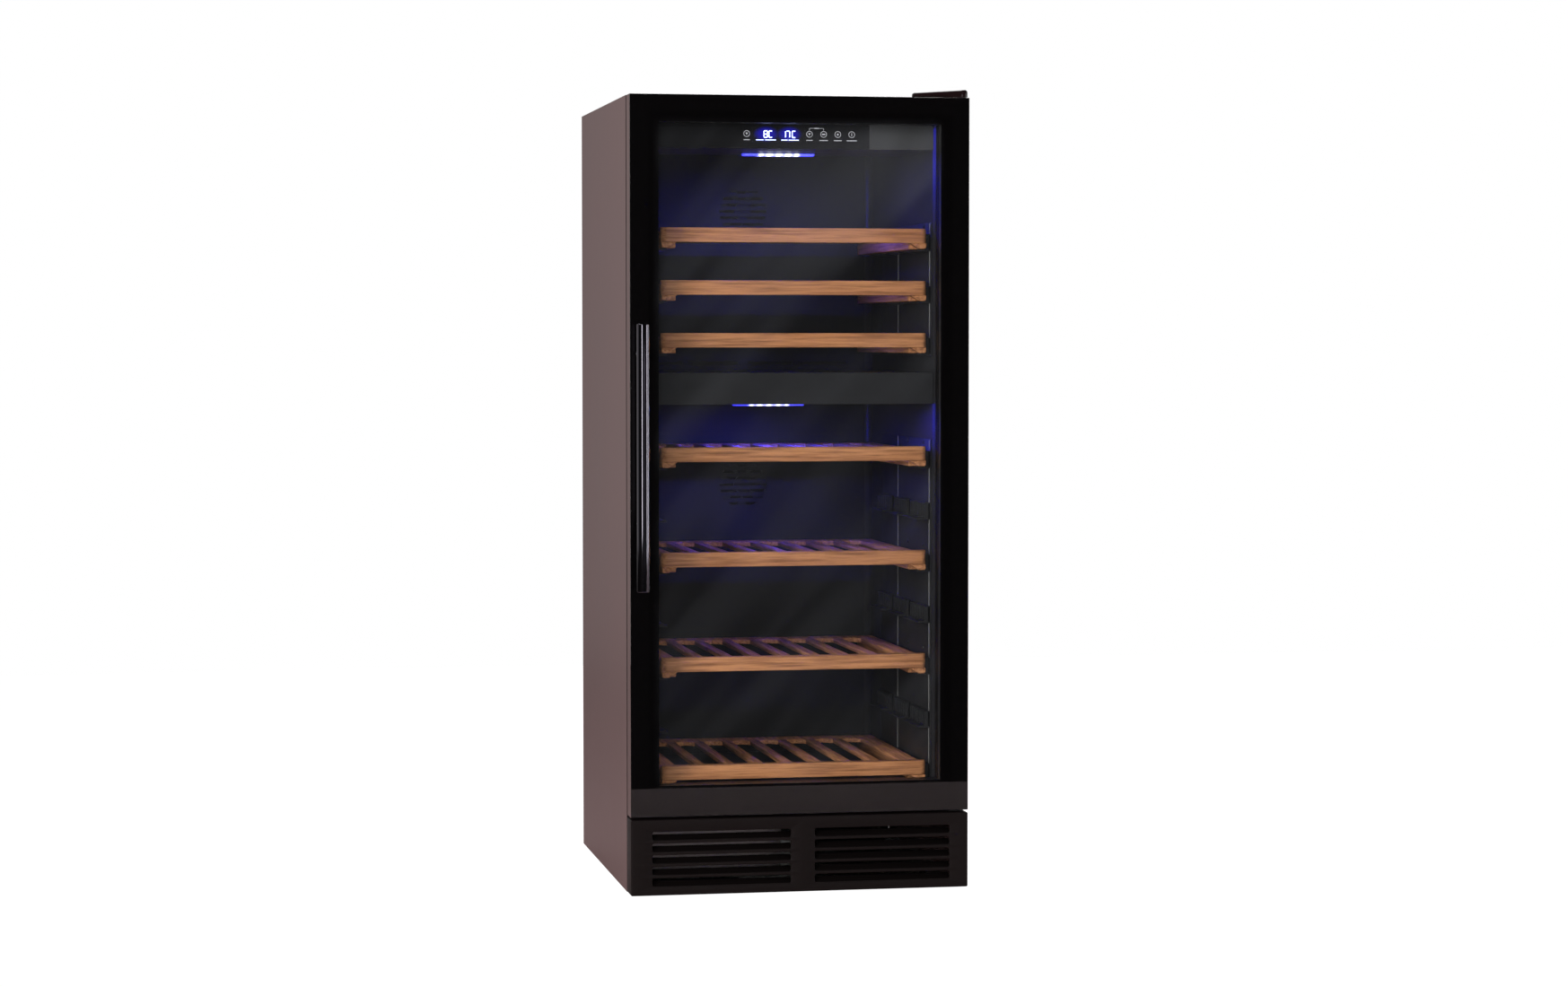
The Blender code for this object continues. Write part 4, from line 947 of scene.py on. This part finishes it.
def make_shelves():
    for name, top in SHELF_TOPS.items():
        rail = shelf_rail(0.0, SHELF_FRONT, top)
        piece(name + "_rail", [rail], rail_beech, name, [name + "_front"])
        surfaces = shelf_slats(SHELF_FRONT, top) + shelf_runners(SHELF_FRONT, top)
        piece(name + "_slats", surfaces, slat_beech, name, [name + "_deck"])


# ---- back and underside -------------------------------------------------------------------------
FLANGE, STEM = 12 * MM, 5 * MM       # radii of a levelling foot's flange and stem


def make_feet():
    """Levelling feet: a soft sole, a flange and a stem, as one profile turned about Z."""
    for place in ("front_left", "front_right", "rear_left", "rear_right"):
        name = "foot_" + place
        low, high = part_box(name)
        centre = ((low.x + high.x) / 2, (low.y + high.y) / 2, low.z)
        radius = (high.x - low.x) / 2
        tall = high.z - low.z
        profile = [(0.0, 0.0), (radius - 1.5 * MM, 0.0), (radius - 0.4 * MM, 0.5 * MM), (radius, 1.6 * MM),
                   (radius, 4.6 * MM), (radius - 1.0 * MM, 6.0 * MM), (FLANGE, 7.6 * MM),
                   (FLANGE, 11.5 * MM), (STEM, 11.6 * MM), (STEM, tall), (0.0, tall)]
        foot = turned(profile, centre, "XY", 40)
        piece(name + "_turned", [foot], moulded, "cabinet", [name])


def make_rear_screws():
    """Tapping screws round the rear sheet, pan heads with a recess, turned about Y."""
    low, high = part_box("rear_panel")
    profile = [(0.0, 0.2), (1.5, 0.3), (1.7, 1.7), (3.0, 1.5), (4.0, 0.9), (4.4, 0.0), (4.4, -0.6),
               (0.0, -0.6)]
    shape = [(radius * MM, height * MM) for radius, height in profile]
    margin = 12 * MM
    heights = np.linspace(low.z + 16 * MM, high.z - margin, 8)
    places = [(side * (high.x - margin), z) for side in (-1, 1) for z in heights]
    places += [(x, high.z - margin) for x in (-0.14, 0.0, 0.14)]
    surfaces = [turned(shape, (x, high.y, z), "XZ", 20) for x, z in places]
    piece("rear_panel_screws", surfaces, zinc, "cabinet")


def make_inlet_pins():
    """The three contact pins of the power inlet."""
    low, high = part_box("power_inlet")
    middle = (low + high) / 2
    surfaces = []
    for across, up in ((-7 * MM, -2 * MM), (0.0, 2 * MM), (7 * MM, -2 * MM)):
        x, z = middle.x + across, middle.z + up
        surfaces.append(slab((x - 1 * MM, high.y - 17.2 * MM, z - 2 * MM),
                             (x + 1 * MM, high.y - 3 * MM, z + 2 * MM), 0.5 * MM, "XZ"))
    piece("inlet_pins", surfaces, zinc, "cabinet")


# ---- stage --------------------------------------------------------------------------------------
FLOOR_SIDE, FLOOR_FRONT, FLOOR_BACK = 4.0, -1.75, 4.0
# The floor's dark left side is painted shade in its colour, not an absence of light.
FLOOR_DARK_X, FLOOR_LIT_X = -1.3, -0.5      # the floor is unlit left of the first, lit right of the second
CARD_Y = -4.0
CARD_X, CARD_Z = (0.28, 1.15), (-0.32, 1.60)
CARD_SCALE = 1.6292         # size of the door's reflection on the card, over the door's own
CARD_PLACE = (0.7132, -0.6059)
CARD_SLANT = 0.67, 0.74     # the streaks climb along this direction in X and Z
STREAK_WIDTH, STREAK_LENGTH = 0.085, 0.60


def seen_directly(tree):
    """1 where the camera looks straight, or only through glass, at the surface, and 0 in reflections."""
    path = add(tree, "LightPath")
    bounced = add(tree, "Math", {0: path.outputs["Diffuse Depth"], 1: path.outputs["Glossy Depth"]},
                  operation="ADD")
    first = add(tree, "Math", {0: bounced, 1: 0.5}, operation="LESS_THAN")
    through = add(tree, "Math", {0: path.outputs["Is Transmission Ray"], 1: first}, operation="MULTIPLY")
    return add(tree, "Math", {0: through, 1: path.outputs["Is Camera Ray"]}, operation="MAXIMUM")


def backdrop(name, corners, finish):
    """A flat sheet between four corners that is part of the studio, not of the cooler."""
    mesh = bpy.data.meshes.new(name)
    mesh.from_pydata(corners, [], [(0, 1, 2, 3)])
    mesh.materials.append(finish)
    item = bpy.data.objects.new(name, mesh)
    bpy.context.scene.collection.objects.link(item)
    return item


def make_floor():
    """A plain white floor that ends a little in front of the cooler, with painted shade far out on the left,
    as if unlit there.
    """
    made, tree, shader, place = start_material("white_floor", "#95898A", 0.8)
    shader.inputs["Specular IOR Level"].default_value = 0.0
    shine(tree, shader, "#FFFFFF", seen_directly(tree))
    axes = add(tree, "SeparateXYZ", {"Vector": place})
    # Painted shade: the floor's colour fades to near-black towards the left.
    lit = fade(tree, (axes.outputs["X"], FLOOR_DARK_X, FLOOR_LIT_X, 0.0, 1.0))
    lay(tree, shader, lit, ("#1C1A1A", "#95898A"))
    backdrop("floor", [(-FLOOR_SIDE, FLOOR_FRONT, 0.0), (FLOOR_SIDE, FLOOR_FRONT, 0.0),
                       (FLOOR_SIDE, FLOOR_BACK, 0.0), (-FLOOR_SIDE, FLOOR_BACK, 0.0)], made)


def make_world():
    """White where the camera looks past the cooler, a dim studio for reflections, soft fill for the rest."""
    world = bpy.data.worlds.new("studio")
    world.use_nodes = True
    bpy.context.scene.world = world
    tree = world.node_tree
    path = add(tree, "LightPath")
    direction = add(tree, "SeparateXYZ", {"Vector": add(tree, "TexCoord").outputs["Generated"]})
    behind = add(tree, "MapRange", {"Value": direction.outputs["Y"], "From Min": -0.1, "From Max": 0.6,
                                    "To Min": 0.012, "To Max": 0.30})
    dim = add(tree, "Background", {"Color": (1.0, 0.97, 0.97, 1.0), "Strength": behind})
    fill = add(tree, "Background", {"Color": (0.98, 0.98, 1.0, 1.0), "Strength": 0.14})
    white = add(tree, "Background", {"Color": (1.0, 1.0, 1.0, 1.0), "Strength": 1.0})
    mirrored = add(tree, "Math", {0: path.outputs["Glossy Depth"], 1: 0.5}, operation="GREATER_THAN")
    lit = add(tree, "MixShader", {0: mirrored, 1: fill, 2: dim})
    whole = add(tree, "MixShader", {0: seen_directly(tree), 1: lit, 2: white})
    tree.links.new(whole.outputs[0], tree.nodes["World Output"].inputs["Surface"])


def area_light(name, place, target, width, height, watts, colour="#FFFFFF", mirrored=True):
    """A soft light that the camera doesn't see, aimed at a target. It shows in reflections if mirrored."""
    data = bpy.data.lights.new(name, "AREA")
    data.shape = "RECTANGLE"
    data.size = width
    data.size_y = height
    data.energy = watts
    data.color = linear(colour)[:3]
    item = bpy.data.objects.new(name, data)
    bpy.context.scene.collection.objects.link(item)
    aim = np.array(target) - np.array(place)
    yaw = math.atan2(-aim[0], aim[1])
    pitch = math.atan2(aim[2], math.hypot(aim[0], aim[1]))
    item.location = place
    item.rotation_euler = (math.pi / 2 + pitch, 0.0, yaw)
    item.visible_camera = False
    item.visible_transmission = False
    item.visible_glossy = mirrored


def light_studio():
    """Two large lights that make no mirror image, narrow strips that do, and light from above and behind."""
    area_light("key_left", (-4.0, -3.4, 1.5), (0.0, 0.0, 0.7), 2.0, 2.4, 250, "#FFF9F6", False)
    area_light("front_fill", (-0.5, -5.5, 1.6), (0.0, -0.3, 0.75), 2.0, 2.0, 125, "#FFFAF6", False)
    area_light("strip_left", (-2.2, -3.9, 1.0), (0.0, -0.3, 0.8), 0.7, 2.2, 24)
    area_light("strip_right_front", (3.2, -2.35, 0.9), (0.0, -0.3, 0.75), 0.34, 2.2, 20)
    area_light("strip_right", (3.4, -0.55, 0.9), (0.0, -0.3, 0.75), 0.30, 2.0, 14)
    area_light("soft_top", (0.0, 1.3, 3.4), (0.0, 0.3, 1.0), 2.0, 1.6, 60)
    area_light("soft_back", (1.8, 3.4, 3.0), (0.0, 0.3, 0.6), 3.0, 3.0, 45)


def make_card():
    """A softly lit card that shows only as the haze reflected in the door's glass.

    Its pattern is laid out in the door's own X and Z: a place on the card is CARD_SCALE times a place on
    the door, plus CARD_PLACE. Streaks of noise along the slant brighten a slanting band and the upper right
    corner, and the whole fades out at the edges of the glass."""
    made, tree, shader, place = start_material("card_light", "#000000", 1.0)
    shader.inputs["Specular IOR Level"].default_value = 0.0
    door = add(tree, "Mapping", {"Vector": place, "Location": (CARD_PLACE[0], 0.0, CARD_PLACE[1]),
                                 "Scale": (CARD_SCALE, 1.0, CARD_SCALE)}, vector_type="TEXTURE")
    x, y, z = add(tree, "SeparateXYZ", {"Vector": door}).outputs
    run, rise = CARD_SLANT
    across, along = [add(tree, "VectorMath", {0: door, 1: way}, operation="DOT_PRODUCT").outputs["Value"]
                     for way in ((-rise, 0.0, run), (run, 0.0, rise))]
    brushed = add(tree, "CombineXYZ", {
        0: add(tree, "Math", {0: across, 1: STREAK_WIDTH}, operation="DIVIDE"),
        1: add(tree, "Math", {0: along, 1: STREAK_LENGTH}, operation="DIVIDE")})
    noise = add(tree, "TexNoise", {"Vector": brushed, "Scale": 1.0, "Detail": 2.0})
    band = fade(tree, (across, 0.58, 0.76, 0.0, 0.30), (across, 0.76, 0.98, 1.0, 0.0),
                (z, 0.85, 1.20, 0.2, 1.0))
    corner = fade(tree, (x, 0.00, 0.22, 0.0, 0.15), (z, 0.95, 1.30, 0.0, 1.0))
    glow = add(tree, "Math", {0: band, 1: corner}, operation="ADD")
    glow = add(tree, "Math", {0: glow, 1: 0.21}, operation="ADD")
    shape = fade(tree, (noise, 0.40, 0.64, 0.40, 1.3),
                 (x, -0.262, -0.232, 0.0, 1.0), (x, 0.225, 0.255, 1.0, 0.0),
                 (z, 0.18, 0.23, 0.0, 1.0), (z, 1.30, 1.35, 1.0, 0.0))
    shine(tree, shader, "#F2F4FF", add(tree, "Math", {0: glow, 1: shape}, operation="MULTIPLY"))
    (left, right), (bottom, top) = CARD_X, CARD_Z
    card = backdrop("reflection_card", [(left, CARD_Y, bottom), (right, CARD_Y, bottom),
                                        (right, CARD_Y, top), (left, CARD_Y, top)], made)
    card.visible_camera = False
    card.visible_diffuse = False
    card.visible_transmission = False
    card.visible_shadow = False


def light_cavity():
    """The blue lamps of the two zones, each a narrow light just under its lens."""
    for name, watts in (("upper_lamp", 3.0), ("lower_lamp", 2.6)):
        low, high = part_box(name)
        middle = (low + high) / 2
        place = (middle.x, middle.y, low.z - 1.5 * MM)
        target = (middle.x, middle.y + 1 * MM, low.z - 1.0)
        area_light(name + "_light", place, target, 0.12, 0.016, watts, LAMP_BLUE)


def make_camera():
    data = bpy.data.cameras.new("camera")
    data.sensor_width = 36.0
    data.lens = 79.8
    data.clip_end = 100.0
    item = bpy.data.objects.new("camera", data)
    item.location = (-1.1335, -6.1845, 0.963)
    item.rotation_euler = (math.radians(90.0 - 2.53), 0.0, math.radians(-10.61))
    bpy.context.scene.collection.objects.link(item)
    bpy.context.scene.camera = item


make_camera()
make_floor()
make_world()
light_studio()
make_card()
light_cavity()
bpy.context.scene.view_settings.view_transform = "Standard"

dress_nodes()
make_cavity()
for side_name, side in (("left", -1), ("right", 1)):
    make_rack("upper_rack_" + side_name, side, UPPER_PLACES)
    make_rack("lower_rack_" + side_name, side, LOWER_PLACES)
make_lamps()
make_display()
make_plinth()
make_border()
make_gasket()
make_handle()
make_hinge_cover()
make_shelves()
make_feet()
make_rear_screws()
make_inlet_pins()
